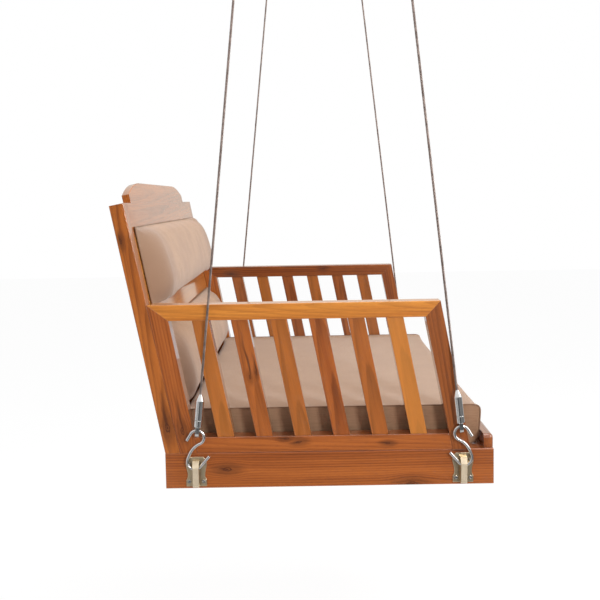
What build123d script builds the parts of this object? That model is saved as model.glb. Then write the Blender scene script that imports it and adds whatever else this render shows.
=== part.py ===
from build123d import *

import os
from math import asin, cos, degrees, dist, hypot, radians, sin, sqrt, tan

# A jhoola: a padded two-seat bench of oiled teak that hangs from the ceiling on four steel ropes.
# X runs across the bench, the front is at -Y and Z is up. The origin lies on the ceiling, in the
# middle of the four ceiling studs. Inside the bench, "forward" is measured from the rear ends of
# the side rails and "up" from their undersides. The sitter's right is at -X.

# --- Side rails and cross rails -------------------------------------------------------------
bench_width = 1220.0
rail_length = 660.0
rail_height = 72.0
rail_thick = 44.0
rail_round = 2.0
cross_rail_thick = 28.0

# --- Deck ------------------------------------------------------------------------------------
plank_thick = 18.0
plank_count = 6
plank_gap = 8.0
plank_end_gap = 1.0
cleat_width = 22.0
cleat_height = 30.0
bearer_width = 28.0
bearer_height = 46.0
plank_round = 1.5

# --- Front lip ---------------------------------------------------------------------------------
lip_thick = 20.5
lip_height = 28.0
lip_overhang = 1.5
lip_end_inset = 7.0
lip_corner_round = 12.0
lip_top_round = 9.0

# --- Back ----------------------------------------------------------------------------------------
lean = 11.0
post_depth = 29.0
post_width = 44.0
post_length = 507.0
post_round = 1.5
top_rail_height = 70.0
bottom_rail_height = 50.0
panel_thick = 12.0
crest_height = 46.0
crest_thick = 16.0
crest_inset = 137.0
crest_end_height = 20.0
crest_bow_run = 70.0
crest_bow_height = 36.5
crest_shoulder_run = 165.0
crest_round = 1.0

# --- Arms ----------------------------------------------------------------------------------------
arm_height = 300.0
arm_front_clear = 27.5
arm_rail_height = 32.0
upright_depth = 35.5
slat_count = 6
slat_width = 33.0
rear_slat_gap = 46.5
slat_recess = 2.0
arm_round = 1.5

# --- Joinery -----------------------------------------------------------------------------------
dowel_radius = 5.0
dowel_length = 40.0
dowel_gap = 0.15
dowel_low = 22.0
dowel_high = 44.0

# --- Brass hanging brackets -----------------------------------------------------------------------
bracket_inset = 62.0
bracket_up = 5.0
bracket_height = 60.0
plate_thick = 3.0
plate_base_half = 20.5
plate_base_height = 13.0
plate_waist_half = 17.5
plate_waist_up = 26.0
plate_bulge_half = 21.0
plate_bulge_up = 45.0
plate_top_half = 14.0
strap_width = 13.0
strap_thick = 3.0
loop_depth = 13.0
loop_corner = 3.5
loop_ceiling_up = 44.0
loop_root_height = 10.0
strap_round = 1.0
plate_chamfer = 0.6
screw_radius = 2.0
screw_length = 28.0
screw_gap = 0.15
screw_head_radius = 3.8
screw_head_height = 2.4
screw_slot_width = 1.1
screw_slot_depth = 1.3
screw_side = 14.5
screw_low_up = 10.0
screw_high_side = 14.0
screw_high_up = 46.0
screw_slot_turns = (45, 135)

# --- S-hooks ---------------------------------------------------------------------------------------
hook_rod_radius = 3.0
hook_plane_gap = 11.0
hook_low_bend = 15.0
hook_high_bend = 14.3
hook_bend_spacing = 49.5
hook_low_flare_angle = 55.0
hook_low_flare = 27.0
hook_high_arc_end = 155.0
hook_high_flare = 16.0
hook_low_lead = 24.0
hook_high_lead = 26.0
hook_play = 1.6

# --- Rope and its end fittings ----------------------------------------------------------------------
rope_radius = 2.5
eye_thick = 7.5
low_eye_hole = 4.5
low_eye_half = 8.5
low_eye_nose = 9.4
eye_web = 2.1
sleeve_radius = 8.6
collar_length = 14.0
sleeve_length = 52.5
cone_length = 13.5
cone_top_radius = 3.3
seam_chamfer = 0.5
high_eye_hole = 5.6
high_eye_wall = 4.4

# --- Ceiling fittings ----------------------------------------------------------------------------------
ceiling_rod_radius = 5.0
anchor_stud_radius = 4.0
anchor_stud_length = 60.0
ceiling_bend = 17.0
ceiling_neck_bend = 8.0
ceiling_arc_end = 340.0
ceiling_drop = 44.0
ceiling_spacing = 268.0
flange_radius = 30.0
flange_thick = 5.0
flange_round = 2.0
nut_flats = 16.0
nut_height = 8.0
thread_gap = 0.2
pivot_drop = 1244.0

# --- Cushions ------------------------------------------------------------------------------------------
soft_gap = 0.3
cushion_side_gap = 2.0
cushion_height = 80.5
cushion_rear_gap = 1.5
cushion_front_gap = 1.0
cushion_round = 14.0
bolster_inset = 58.0
bolster_height = 163.0
bolster_depth = 55.0
bolster_flat_depth = 34.0
bolster_foot_depth = 49.0
bolster_foot_rise = 17.0
bolster_full_share = 0.48
bolster_head_depth = 36.0
bolster_head_share = 0.885
high_bolster_rise = 294.0
low_bolster_press = 9.0
low_bolster_gap = 1.5
strip_height = 25.0
strip_thick = 2.5
strip_inset = 60.0
strip_share = 0.5

# --- Fit between curved pieces ---------------------------------------------------------------------
seat_gap = 0.3

# --- Worked out ----------------------------------------------------------------------------------------
half_width = bench_width / 2
inner_half = half_width - rail_thick
tan_lean = tan(radians(lean))
cos_lean = cos(radians(lean))
sin_lean = sin(radians(lean))
deck_up = rail_height - plank_thick
lip_rear = rail_length + lip_overhang - lip_thick
loop_ceiling = bracket_up + loop_ceiling_up
hook_inner = hook_low_bend - hook_rod_radius
loop_corner_reach = strap_width / 2 + hook_play
low_pivot_up = loop_ceiling + sqrt((hook_inner - seat_gap) ** 2 - loop_corner_reach**2)
low_pivot_forward = bracket_inset - hook_play
high_pivot_forward = (rail_length - ceiling_spacing) / 2
rope_tilt = asin(
    (high_pivot_forward - low_pivot_forward)
    / sqrt(pivot_drop**2 + (high_pivot_forward - low_pivot_forward) ** 2)
)
pivot_distance = pivot_drop / cos(rope_tilt)
hang_height = low_pivot_up + pivot_drop + ceiling_drop
hook_x = -(half_width + hook_plane_gap)
right_rail_span = (-half_width, -inner_half)
across = (1, 0, 0)
fore_aft = (0, 1, 0)
lean_way = (0, sin_lean, cos_lean)
parallel_share = 0.999
slanted_share = 0.3


def yz(forward, up):
    """The (Y, Z) place of a point given as forward of the rails' rear ends and up from their undersides."""
    return (rail_length / 2 - forward, up - hang_height)


def on_lean(foot, up):
    """A point at a height, on the leaning line that stands on the rails' top at foot."""
    return yz(foot - (up - rail_height) * tan_lean, up)


def along_lean(depth, rise):
    """A point a depth in front of the back's rear face and a rise along it from the rails' top."""
    return yz(depth * cos_lean - rise * sin_lean, rail_height + depth * sin_lean + rise * cos_lean)


def prism(outline, x_start, x_end):
    """A solid with a straight-sided outline in Y and Z, from x_start to x_end."""
    face = make_face(Polyline(*outline, close=True))
    return extrude(Plane.YZ.offset(x_start) * face, amount=x_end - x_start, dir=(1, 0, 0))


def runs_along(edge, direction, share=parallel_share):
    """Whether an edge's middle runs along a direction, to within a share of its length."""
    return abs((edge % 0.5).dot(Vector(*direction).normalized())) > share


def runs_across(edge):
    """Whether an edge runs mostly across the bench, not from front to rear."""
    return runs_along(edge, across, slanted_share)


def eased(solid, direction, radius):
    """The solid with its edges along a direction rounded."""
    return fillet(solid.edges().filter_by(lambda edge: runs_along(edge, direction)), radius)


def block(forward_span, up_span, x_span):
    """A box given by its spans in the bench's own measures."""
    outline = [
        yz(forward_span[0], up_span[0]),
        yz(forward_span[1], up_span[0]),
        yz(forward_span[1], up_span[1]),
        yz(forward_span[0], up_span[1]),
    ]
    return prism(outline, x_span[0], x_span[1])


def rod_along_x(forward, up, x_start, x_end, radius):
    """A round rod parallel to X."""
    centre = yz(forward, up)
    face = Plane.YZ.offset(x_start) * Pos(*centre) * Circle(radius)
    return extrude(face, amount=x_end - x_start, dir=(1, 0, 0))


def mirrored_left(shape):
    """The same piece on the sitter's left."""
    return mirror(shape, about=Plane.YZ)


def mirrored_front(shape):
    """The same piece at the front of the bench."""
    return mirror(shape, about=Plane.XZ)



# --- Wood: rails and deck ---------------------------------------------------------------------------
def dowels_right(gap=0.0):
    """The dowels of the right side rail, or their holes when gap is the clearance."""
    places = [
        (forward, up)
        for forward in (cross_rail_thick / 2, rail_length - cross_rail_thick / 2)
        for up in (dowel_low, dowel_high)
    ]
    reach = dowel_length / 2 + gap
    return [
        rod_along_x(forward, up, -inner_half - reach, -inner_half + reach, dowel_radius + gap)
        for forward, up in places
    ]


def screw_places():
    """Forward and up of the four screws of the rear bracket."""
    return [
        (bracket_inset - screw_side, bracket_up + screw_low_up),
        (bracket_inset + screw_side, bracket_up + screw_low_up),
        (bracket_inset - screw_high_side, bracket_up + screw_high_up),
        (bracket_inset + screw_high_side, bracket_up + screw_high_up),
    ]


def rear_screw_holes(x_start, x_end):
    """Clearance holes for the rear right bracket's screws."""
    return [
        rod_along_x(forward, up, x_start, x_end, screw_radius + screw_gap)
        for forward, up in screw_places()
    ]


def side_rail_right():
    """Right side rail, with its dowel holes and its screw holes."""
    rail = block((0, rail_length), (0, rail_height), right_rail_span)
    rail = eased(rail, fore_aft, rail_round)
    hole_end = -half_width - plate_thick + screw_length + screw_gap
    holes = rear_screw_holes(-half_width, hole_end)
    holes += [mirrored_front(hole) for hole in holes]
    for hole in holes + dowels_right(dowel_gap):
        rail -= hole
    return rail


def cross_rail(forward_start):
    """A cross rail between the side rails, with its dowel holes."""
    rail = block(
        (forward_start, forward_start + cross_rail_thick),
        (0, rail_height),
        (-inner_half, inner_half),
    )
    rail = eased(rail, across, plank_round)
    holes = dowels_right(dowel_gap)
    for hole in holes + [mirrored_left(hole) for hole in holes]:
        rail -= hole
    return rail


def seat_cleat_right():
    """Ledger on the right side rail that carries the plank ends."""
    return block(
        (cross_rail_thick, rail_length - cross_rail_thick),
        (deck_up - cleat_height, deck_up),
        (-inner_half, -inner_half + cleat_width),
    )


def centre_bearer():
    """Bearer under the middle of the planks."""
    return block(
        (cross_rail_thick, rail_length - cross_rail_thick),
        (deck_up - bearer_height, deck_up),
        (-bearer_width / 2, bearer_width / 2),
    )


def seat_planks():
    """The deck's planks, evenly spaced between the cross rails."""
    clear = rail_length - 2 * cross_rail_thick
    width = (clear - (plank_count + 1) * plank_gap) / plank_count
    planks = []
    for number in range(plank_count):
        start = cross_rail_thick + plank_gap + number * (width + plank_gap)
        plank = block(
            (start, start + width),
            (deck_up, rail_height),
            (-inner_half + plank_end_gap, inner_half - plank_end_gap),
        )
        planks.append(eased(plank, across, plank_round))
    return planks


def front_lip():
    """Moulded lip along the front, standing on the rails and reaching past them."""
    lip = block(
        (lip_rear, lip_rear + lip_thick),
        (rail_height, rail_height + lip_height),
        (-half_width + lip_end_inset, half_width - lip_end_inset),
    )
    corners = lip.edges().filter_by(Axis.Z).sort_by(Axis.Y)[:2]
    lip = fillet(corners, lip_corner_round)
    rim = lip.faces().sort_by(Axis.Z)[-1].edges().sort_by(Axis.Y)
    return fillet(rim[:-1], lip_top_round)


# --- Wood: back ----------------------------------------------------------------------------------------
def back_post_right():
    """Right back post: foot flat on the side rail, top cut square."""
    outline = [
        along_lean(0, 0),
        along_lean(post_depth, -post_depth * tan_lean),
        along_lean(post_depth, post_length),
        along_lean(0, post_length),
    ]
    post = prism(outline, -half_width, -half_width + post_width)
    return eased(post, lean_way, post_round)


def back_rail(low, high, foot_cut):
    """A rail of the back between the posts."""
    low_front = -post_depth * tan_lean if foot_cut else low
    outline = [
        along_lean(0, low),
        along_lean(post_depth, low_front),
        along_lean(post_depth, high),
        along_lean(0, high),
    ]
    reach = half_width - post_width
    return prism(outline, -reach, reach)


def back_panel():
    """Panel that closes the back, flush with the front of its rails."""
    outline = [
        along_lean(post_depth - panel_thick, bottom_rail_height),
        along_lean(post_depth, bottom_rail_height),
        along_lean(post_depth, post_length - top_rail_height),
        along_lean(post_depth - panel_thick, post_length - top_rail_height),
    ]
    reach = half_width - post_width
    return prism(outline, -reach, reach)


def crest_board():
    """Shaped board on the middle of the top rail, with a rounded shoulder at each end."""
    rear = (post_depth - crest_thick) / 2
    plane = Plane(
        origin=(0, *along_lean(rear, post_length)),
        x_dir=(1, 0, 0),
        z_dir=(0, -cos_lean, sin_lean),
    )
    end = half_width - crest_inset
    bow = end - crest_bow_run
    flat = end - crest_shoulder_run
    edges = [
        Line((-end, 0), (end, 0)),
        Line((end, 0), (end, crest_end_height)),
        ThreePointArc((end, crest_end_height), (bow, crest_bow_height), (flat, crest_height)),
        Line((flat, crest_height), (-flat, crest_height)),
        ThreePointArc((-flat, crest_height), (-bow, crest_bow_height), (-end, crest_end_height)),
        Line((-end, crest_end_height), (-end, 0)),
    ]
    board = extrude(plane * make_face(edges), amount=crest_thick)
    foot_z = along_lean(crest_thick + rear, post_length)[1]
    rim = board.edges().filter_by(lambda edge: edge.center().Z > foot_z and runs_across(edge))
    return fillet(rim, crest_round)


# --- Wood: arms ----------------------------------------------------------------------------------------
arm_top_up = rail_height + arm_height
arm_reach = lip_rear - arm_front_clear
arm_rear_foot = post_depth / cos_lean
arm_rear_inner = arm_rear_foot + upright_depth / cos_lean
arm_front_inner = arm_reach - upright_depth / cos_lean
under_top_up = arm_top_up - arm_rail_height
over_bottom_up = rail_height + arm_rail_height


def arm_member(outline, recess=0.0):
    """A member of the right arm from its outline of (foot, up) points."""
    return prism(
        [on_lean(foot, up) for foot, up in outline],
        -half_width + recess,
        -inner_half - recess,
    )


def arm_top_right():
    """Arm rest rail, mitred at both ends."""
    outline = [
        (arm_rear_foot, arm_top_up),
        (arm_reach, arm_top_up),
        (arm_front_inner, under_top_up),
        (arm_rear_inner, under_top_up),
    ]
    return eased(arm_member(outline), fore_aft, arm_round)


def arm_bottom_right():
    """Rail that lies on the side rail between the arm's uprights."""
    outline = [
        (arm_rear_inner, rail_height),
        (arm_front_inner, rail_height),
        (arm_front_inner, over_bottom_up),
        (arm_rear_inner, over_bottom_up),
    ]
    return eased(arm_member(outline), fore_aft, arm_round)


def arm_rear_upright_right():
    """Upright in front of the back post, mitred under the arm rest."""
    outline = [
        (arm_rear_foot, rail_height),
        (arm_rear_inner, rail_height),
        (arm_rear_inner, under_top_up),
        (arm_rear_foot, arm_top_up),
    ]
    return eased(arm_member(outline), lean_way, arm_round)


def arm_front_upright_right():
    """Front upright, mitred under the arm rest."""
    outline = [
        (arm_front_inner, rail_height),
        (arm_reach, rail_height),
        (arm_reach, arm_top_up),
        (arm_front_inner, under_top_up),
    ]
    return eased(arm_member(outline), lean_way, arm_round)


def arm_slats_right():
    """The slats of the right arm: a wider gap at the rear, and the rest equal."""
    width = slat_width / cos_lean
    first = arm_rear_inner + rear_slat_gap
    pitch = (arm_front_inner - first) / slat_count
    slats = []
    for number in range(slat_count):
        foot = first + number * pitch
        outline = [
            (foot, over_bottom_up),
            (foot + width, over_bottom_up),
            (foot + width, under_top_up),
            (foot, under_top_up),
        ]
        slats.append(eased(arm_member(outline, slat_recess), lean_way, arm_round))
    return slats


# --- Brass brackets ------------------------------------------------------------------------------------
def bracket_plate():
    """Waisted plate of the rear right bracket, flat on the side rail."""
    half_edges = [
        (plate_base_half, 0),
        (plate_base_half, plate_base_height),
        (plate_waist_half, plate_waist_up),
        (plate_bulge_half, plate_bulge_up),
        (plate_top_half, bracket_height),
    ]
    right = [yz(bracket_inset + side, bracket_up + up) for side, up in half_edges]
    left = [yz(bracket_inset - side, bracket_up + up) for side, up in half_edges]
    edges = [
        Line(left[0], right[0]),
        Line(right[0], right[1]),
        Spline(right[1], right[2], right[3], right[4]),
        Line(right[4], left[4]),
        Spline(left[4], left[3], left[2], left[1]),
        Line(left[1], left[0]),
    ]
    face = Plane.YZ.offset(-half_width - plate_thick) * make_face(edges)
    plate = extrude(face, amount=plate_thick, dir=(1, 0, 0))
    return chamfer(plate.faces().sort_by(Axis.X)[0].edges(), plate_chamfer)


def bracket_strap():
    """Loop that stands off the plate and takes the S-hook."""
    face_x = -half_width - plate_thick
    base = bracket_up - hang_height
    inner = loop_depth
    outer = loop_depth + strap_thick
    corner = loop_corner + strap_thick
    ceiling = loop_ceiling_up
    crown = ceiling + loop_root_height
    sweep_in = (loop_root_height + loop_corner) / 2

    def at(out, up):
        return (face_x - out, base + up)

    def turn(centre, start, end):
        """The quarter arc between two (out, up) points, about a centre."""
        radius = dist(centre, start)
        chord = ((start[0] + end[0]) / 2 - centre[0], (start[1] + end[1]) / 2 - centre[1])
        share = radius / hypot(*chord)
        middle = (centre[0] + chord[0] * share, centre[1] + chord[1] * share)
        return ThreePointArc(at(*start), at(*middle), at(*end))

    reach = outer - corner
    window_top = ceiling - loop_corner
    edges = [
        Line(at(0, 0), at(reach, 0)),
        turn((reach, corner), (reach, 0), (outer, corner)),
        Line(at(outer, corner), at(outer, window_top)),
        Line(at(outer, window_top), at(outer - sweep_in, crown)),
        Line(at(outer - sweep_in, crown), at(0, crown)),
        Line(at(0, crown), at(0, ceiling)),
        Line(at(0, ceiling), at(reach, ceiling)),
        turn((reach, window_top), (reach, ceiling), (inner, window_top)),
        Line(at(inner, window_top), at(inner, corner)),
        turn((reach, corner), (inner, corner), (reach, strap_thick)),
        Line(at(reach, strap_thick), at(0, strap_thick)),
        Line(at(0, strap_thick), at(0, 0)),
    ]
    middle_y = yz(bracket_inset, 0)[0]
    plane = Plane(origin=(0, middle_y + strap_width / 2, 0), x_dir=(1, 0, 0), z_dir=(0, -1, 0))
    strap = extrude(plane * make_face(edges), amount=strap_width)
    rims = strap.edges().filter_by(
        lambda edge: not runs_along(edge, fore_aft) and edge.center().X < face_x - inner
    )
    return fillet(rims, strap_round)


def bracket_rear_right():
    """Plate and loop in one casting, with its screw holes."""
    casting = bracket_plate() + bracket_strap()
    for hole in rear_screw_holes(-half_width - plate_thick, -half_width):
        casting -= hole
    return casting


def rear_screws():
    """Cross-head screws of the rear right bracket."""
    seat_x = -half_width - plate_thick
    screws = []
    for forward, up in screw_places():
        shank = rod_along_x(forward, up, seat_x, seat_x + screw_length, screw_radius)
        head = rod_along_x(forward, up, seat_x - screw_head_height, seat_x, screw_head_radius)
        rim = head.edges().sort_by(Axis.X)[0]
        head = fillet(rim, screw_head_height / 2)
        top_x = seat_x - screw_head_height
        centre = yz(forward, up)
        screw = head + shank
        for turn in screw_slot_turns:
            slot = Box(2 * screw_slot_depth, screw_head_radius, screw_slot_width)
            screw -= Pos(top_x, *centre) * Rot(turn, 0, 0) * slot
        screws.append(screw)
    return screws


# --- Hangers: S-hook, eye, sleeve, rope and top terminal, upright about their lower pivot -------------
def around(centre, radius, angle):
    """A point on a circle, angle in degrees."""
    return (
        centre[0] + radius * cos(radians(angle)),
        centre[1] + radius * sin(radians(angle)),
    )


def step(point, angle, length):
    """A point a length away from another along an angle."""
    return around(point, length, angle)


def arc(centre, radius, start, end):
    """An arc between two angles, the short or the long way that they state."""
    return ThreePointArc(
        around(centre, radius, start),
        around(centre, radius, (start + end) / 2),
        around(centre, radius, end),
    )


def bent_rod(edges, radius):
    """A round rod along a plane path of (forward, up) edges, in the Y and Z plane through X = 0."""
    plane = Plane(origin=(0, 0, 0), x_dir=(0, -1, 0), z_dir=(-1, 0, 0))
    path = plane * Wire(edges)
    section = Plane(origin=path @ 0, z_dir=path % 0) * Circle(radius)
    return sweep(section, path=path)


def s_hook():
    """The S-hook about its lower bend, which is the lower pivot."""
    low = (0, 0)
    high = (0, hook_bend_spacing)
    cross = degrees(asin((hook_low_bend + hook_high_bend) / hook_bend_spacing))
    low_start = hook_low_flare_angle - 90
    low_tip = step(around(low, hook_low_bend, low_start), hook_low_flare_angle, hook_low_flare)
    high_end = around(high, hook_high_bend, hook_high_arc_end)
    high_tip = step(high_end, hook_high_arc_end + 90, hook_high_flare)
    low_end = hook_low_lead - cross - 180
    high_start = -cross - hook_high_lead
    low_way = Vector(*around((0, 0), 1, low_end - 90))
    high_way = Vector(*around((0, 0), 1, high_start + 90))
    low_leave = around(low, hook_low_bend, low_end)
    high_reach = around(high, hook_high_bend, high_start)
    edges = [
        Line(low_tip, around(low, hook_low_bend, low_start)),
        arc(low, hook_low_bend, low_start, low_end),
        Spline(low_leave, high_reach, tangents=[low_way, high_way]),
        arc(high, hook_high_bend, high_start, hook_high_arc_end),
        Line(high_end, high_tip),
    ]
    return bent_rod(edges, hook_rod_radius)


def eye_bearing(bend, rod):
    """How far from the bend's centre an eye rests on the inside of the rod, clear by the seat gap."""
    return sqrt((bend - rod) ** 2 - (eye_thick / 2) ** 2) - seat_gap


low_hole_at = hook_bend_spacing + eye_bearing(hook_high_bend, hook_rod_radius) + low_eye_hole
low_collar_at = low_hole_at + low_eye_hole + eye_web
low_sleeve_at = low_collar_at + collar_length
rope_low_at = low_sleeve_at + sleeve_length
high_hole_at = eye_bearing(ceiling_bend, ceiling_rod_radius) + high_eye_hole
high_collar_at = high_hole_at + high_eye_hole + eye_web
rope_high_at = pivot_distance - high_collar_at - collar_length - sleeve_length
rope_length = rope_high_at - rope_low_at


def eye_tab(hole_at, hole_radius, nose, half, end_at):
    """Flat eye: a tab with a round nose and a hole that runs fore and aft."""
    nose_centre = hole_at - hole_radius - nose + half
    outline = [
        Line((-half, nose_centre), (-half, end_at)),
        Line((-half, end_at), (half, end_at)),
        Line((half, end_at), (half, nose_centre)),
        ThreePointArc((half, nose_centre), (0, nose_centre - half), (-half, nose_centre)),
    ]
    plane = Plane(origin=(0, eye_thick / 2, 0), x_dir=(1, 0, 0), z_dir=(0, -1, 0))
    tab = extrude(plane * make_face(outline), amount=eye_thick)
    hole = extrude(plane * (Pos(0, hole_at) * Circle(hole_radius)), amount=eye_thick)
    return tab - hole


def round_bar(start_at, end_at, radius):
    """An upright round bar."""
    return extrude(Plane.XY.offset(start_at) * Circle(radius), amount=end_at - start_at)


def sleeve(start_at):
    """Swaged sleeve with a conical end where the rope goes in."""
    cone_at = start_at + sleeve_length - cone_length
    barrel = round_bar(start_at, cone_at, sleeve_radius)
    barrel = chamfer(barrel.edges().sort_by(Axis.Z)[0], seam_chamfer)
    cone = Pos(0, 0, cone_at + cone_length / 2) * Cone(sleeve_radius, cone_top_radius, cone_length)
    return barrel + cone


def low_eye():
    """Lower eye and its collar."""
    collar = round_bar(low_collar_at, low_sleeve_at, sleeve_radius)
    collar = chamfer(collar.edges(), seam_chamfer)
    tab = eye_tab(low_hole_at, low_eye_hole, low_eye_nose, low_eye_half, low_collar_at)
    return collar + tab


def low_sleeve():
    """Lower sleeve."""
    return sleeve(low_sleeve_at)


def rope():
    """The rope between its two sleeves."""
    return round_bar(rope_low_at, rope_high_at, rope_radius)


def high_terminal():
    """Upper sleeve and eye in one piece, upside down under the upper pivot."""
    collar = round_bar(high_collar_at, high_collar_at + collar_length, sleeve_radius)
    collar = chamfer(collar.edges().sort_by(Axis.Z)[0], seam_chamfer)
    half = high_eye_hole + high_eye_wall
    tab = eye_tab(high_hole_at, high_eye_hole, high_eye_wall, half, high_collar_at)
    body = collar + sleeve(high_collar_at + collar_length) + tab
    return Pos(0, 0, pivot_distance) * Rot(180, 0, 0) * body


def hung(shape):
    """A hanger piece on the rear right rope line."""
    pivot = yz(low_pivot_forward, low_pivot_up)
    return Pos(hook_x, *pivot) * Rot(degrees(rope_tilt), 0, 0) * shape


# --- Ceiling fittings ------------------------------------------------------------------------------------
def ceiling_hook():
    """Hook of round rod and the thinner stud above it, about the upper pivot."""
    neck_up = sqrt(ceiling_bend**2 + 2 * ceiling_bend * ceiling_neck_bend)
    meet = degrees(asin(neck_up / (ceiling_bend + ceiling_neck_bend)))
    ring = (0, 0)
    neck = (-ceiling_neck_bend, neck_up)
    edges = [
        Line((0, ceiling_drop), (0, neck_up)),
        arc(neck, ceiling_neck_bend, 0, -meet),
        arc(ring, ceiling_bend, 180 - meet, ceiling_arc_end),
    ]
    stud = round_bar(ceiling_drop, ceiling_drop + anchor_stud_length, anchor_stud_radius)
    return bent_rod(edges, ceiling_rod_radius) + stud


def ceiling_flange():
    """Round flange against the ceiling, about the stud's axis."""
    disc = round_bar(-flange_thick, 0, flange_radius)
    disc = fillet(disc.edges().sort_by(Axis.Z)[0], flange_round)
    return disc - round_bar(-flange_thick, 0, ceiling_rod_radius + thread_gap)


def ceiling_nut():
    """Hexagon nut under the flange."""
    top = -flange_thick
    hexagon = RegularPolygon(nut_flats / 2, 6, major_radius=False)
    nut = extrude(Plane.XY.offset(top - nut_height) * hexagon, amount=nut_height)
    return nut - round_bar(top - nut_height, top, ceiling_rod_radius + thread_gap)


def at_stud(shape, up):
    """A ceiling piece on the rear right stud's axis, up from the ceiling."""
    return Pos(hook_x, yz(high_pivot_forward, 0)[0], up) * shape


# --- Cushions ---------------------------------------------------------------------------------------------
def seat_cushion():
    """Boxed seat cushion between the arms."""
    reach = inner_half - cushion_side_gap
    rear = post_depth / cos_lean + cushion_rear_gap
    front = lip_rear - cushion_front_gap
    base = rail_height + soft_gap
    cushion = block((rear, front), (base, base + cushion_height), (-reach, reach))
    return fillet(cushion.edges(), cushion_round)


def bolster(base_rise, height, foot_slope):
    """Back bolster: flat behind and full in front, base_rise up the back, its underside at a slope."""
    rear = post_depth + strip_thick + soft_gap
    flat_rise = base_rise + bolster_flat_depth * foot_slope
    points = [
        along_lean(rear + bolster_flat_depth, flat_rise),
        along_lean(rear + bolster_foot_depth, flat_rise + bolster_foot_rise),
        along_lean(rear + bolster_depth, base_rise + height * bolster_full_share),
        along_lean(rear + bolster_head_depth, base_rise + height * bolster_head_share),
        along_lean(rear, base_rise + height),
    ]
    corner = along_lean(rear, base_rise)
    edges = [Line(corner, points[0]), Spline(*points), Line(points[-1], corner)]
    reach = half_width - bolster_inset
    face = Plane.YZ.offset(-reach) * make_face(edges)
    return extrude(face, amount=2 * reach, dir=(1, 0, 0))


low_bolster_rise = (cushion_height + soft_gap + low_bolster_gap) / cos_lean
low_bolster_height = bolster_height - low_bolster_press


def bolster_strip(base_rise, height):
    """Hook-and-loop strip between the back and a bolster."""
    low = base_rise + (height - strip_height) * strip_share
    outline = [
        along_lean(post_depth, low),
        along_lean(post_depth + strip_thick, low),
        along_lean(post_depth + strip_thick, low + strip_height),
        along_lean(post_depth, low + strip_height),
    ]
    reach = half_width - bolster_inset - strip_inset
    return prism(outline, -reach, reach)


# --- Sub-parts ----------------------------------------------------------------------------------------------
def bench_nodes():
    """Every sub-part of the bench, by node name."""
    dowels = dowels_right()
    screws = rear_screws()
    screws += [mirrored_front(screw) for screw in screws]
    cleat = seat_cleat_right()
    rail = side_rail_right()
    post = back_post_right()
    bracket = bracket_rear_right()
    nodes = {
        "side_rail_right": [rail],
        "side_rail_left": [mirrored_left(rail)],
        "rear_rail": [cross_rail(0)],
        "front_rail": [cross_rail(rail_length - cross_rail_thick)],
        "frame_dowels": dowels + [mirrored_left(dowel) for dowel in dowels],
        "seat_cleats": [cleat, mirrored_left(cleat)],
        "centre_bearer": [centre_bearer()],
        "seat_planks": seat_planks(),
        "front_lip": [front_lip()],
        "back_post_right": [post],
        "back_post_left": [mirrored_left(post)],
        "back_top_rail": [back_rail(post_length - top_rail_height, post_length, False)],
        "back_bottom_rail": [back_rail(0, bottom_rail_height, True)],
        "back_panel": [back_panel()],
        "crest_board": [crest_board()],
        "bracket_screws": screws + [mirrored_left(screw) for screw in screws],
        "bracket_rear_right": [bracket],
        "bracket_rear_left": [mirrored_left(bracket)],
        "bracket_front_right": [mirrored_front(bracket)],
        "bracket_front_left": [mirrored_left(mirrored_front(bracket))],
        "seat_cushion": [seat_cushion()],
        "upper_bolster": [bolster(high_bolster_rise, bolster_height, 0)],
        "lower_bolster": [bolster(low_bolster_rise, low_bolster_height, -tan_lean)],
        "bolster_strips": [
            bolster_strip(high_bolster_rise, bolster_height),
            bolster_strip(low_bolster_rise, low_bolster_height),
        ],
    }
    arm = {
        "arm_top": [arm_top_right()],
        "arm_bottom": [arm_bottom_right()],
        "arm_rear_upright": [arm_rear_upright_right()],
        "arm_front_upright": [arm_front_upright_right()],
        "arm_slats": arm_slats_right(),
    }
    for name, pieces in arm.items():
        nodes[name + "_right"] = pieces
        nodes[name + "_left"] = [mirrored_left(piece) for piece in pieces]
    return nodes


def hanger_nodes():
    """The pieces of the four hangers, by node name."""
    rear_right = {
        "s_hook": hung(s_hook()),
        "eye": hung(low_eye()),
        "sleeve": hung(low_sleeve()),
        "rope": hung(rope()),
        "top_terminal": hung(high_terminal()),
        "ceiling_hook": at_stud(ceiling_hook(), -ceiling_drop),
    }
    nodes = {}
    for name, shape in rear_right.items():
        nodes[name + "_rear_right"] = [shape]
        nodes[name + "_rear_left"] = [mirrored_left(shape)]
        nodes[name + "_front_right"] = [mirrored_front(shape)]
        nodes[name + "_front_left"] = [mirrored_left(mirrored_front(shape))]
    return nodes


def four_times(shape):
    """A piece at the rear right and its three mirror images."""
    pair = [shape, mirrored_left(shape)]
    return pair + [mirrored_front(piece) for piece in pair]


def ceiling_nodes():
    """Flanges and nuts on the ceiling."""
    return {
        "ceiling_flanges": four_times(at_stud(ceiling_flange(), 0)),
        "ceiling_nuts": four_times(at_stud(ceiling_nut(), 0)),
    }


os.makedirs("parts", exist_ok=True)
for node_name, solids in {**bench_nodes(), **hanger_nodes(), **ceiling_nodes()}.items():
    shape = solids[0] if len(solids) == 1 else Compound(children=solids)
    export_step(shape, f"parts/{node_name}.step")
print(f"hang height {hang_height:.2f}, low pivot up {low_pivot_up:.3f}, tilt {rope_tilt:.6f}")
print(f"rope length {rope_length:.2f}, pivot distance {pivot_distance:.2f}")
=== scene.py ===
import itertools
import logging
import math
from collections.abc import Iterable, Sequence
from dataclasses import dataclass
from enum import Enum

import bmesh
import bpy
from mathutils import Euler, Matrix, Vector
from mathutils.bvhtree import BVHTree


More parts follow.
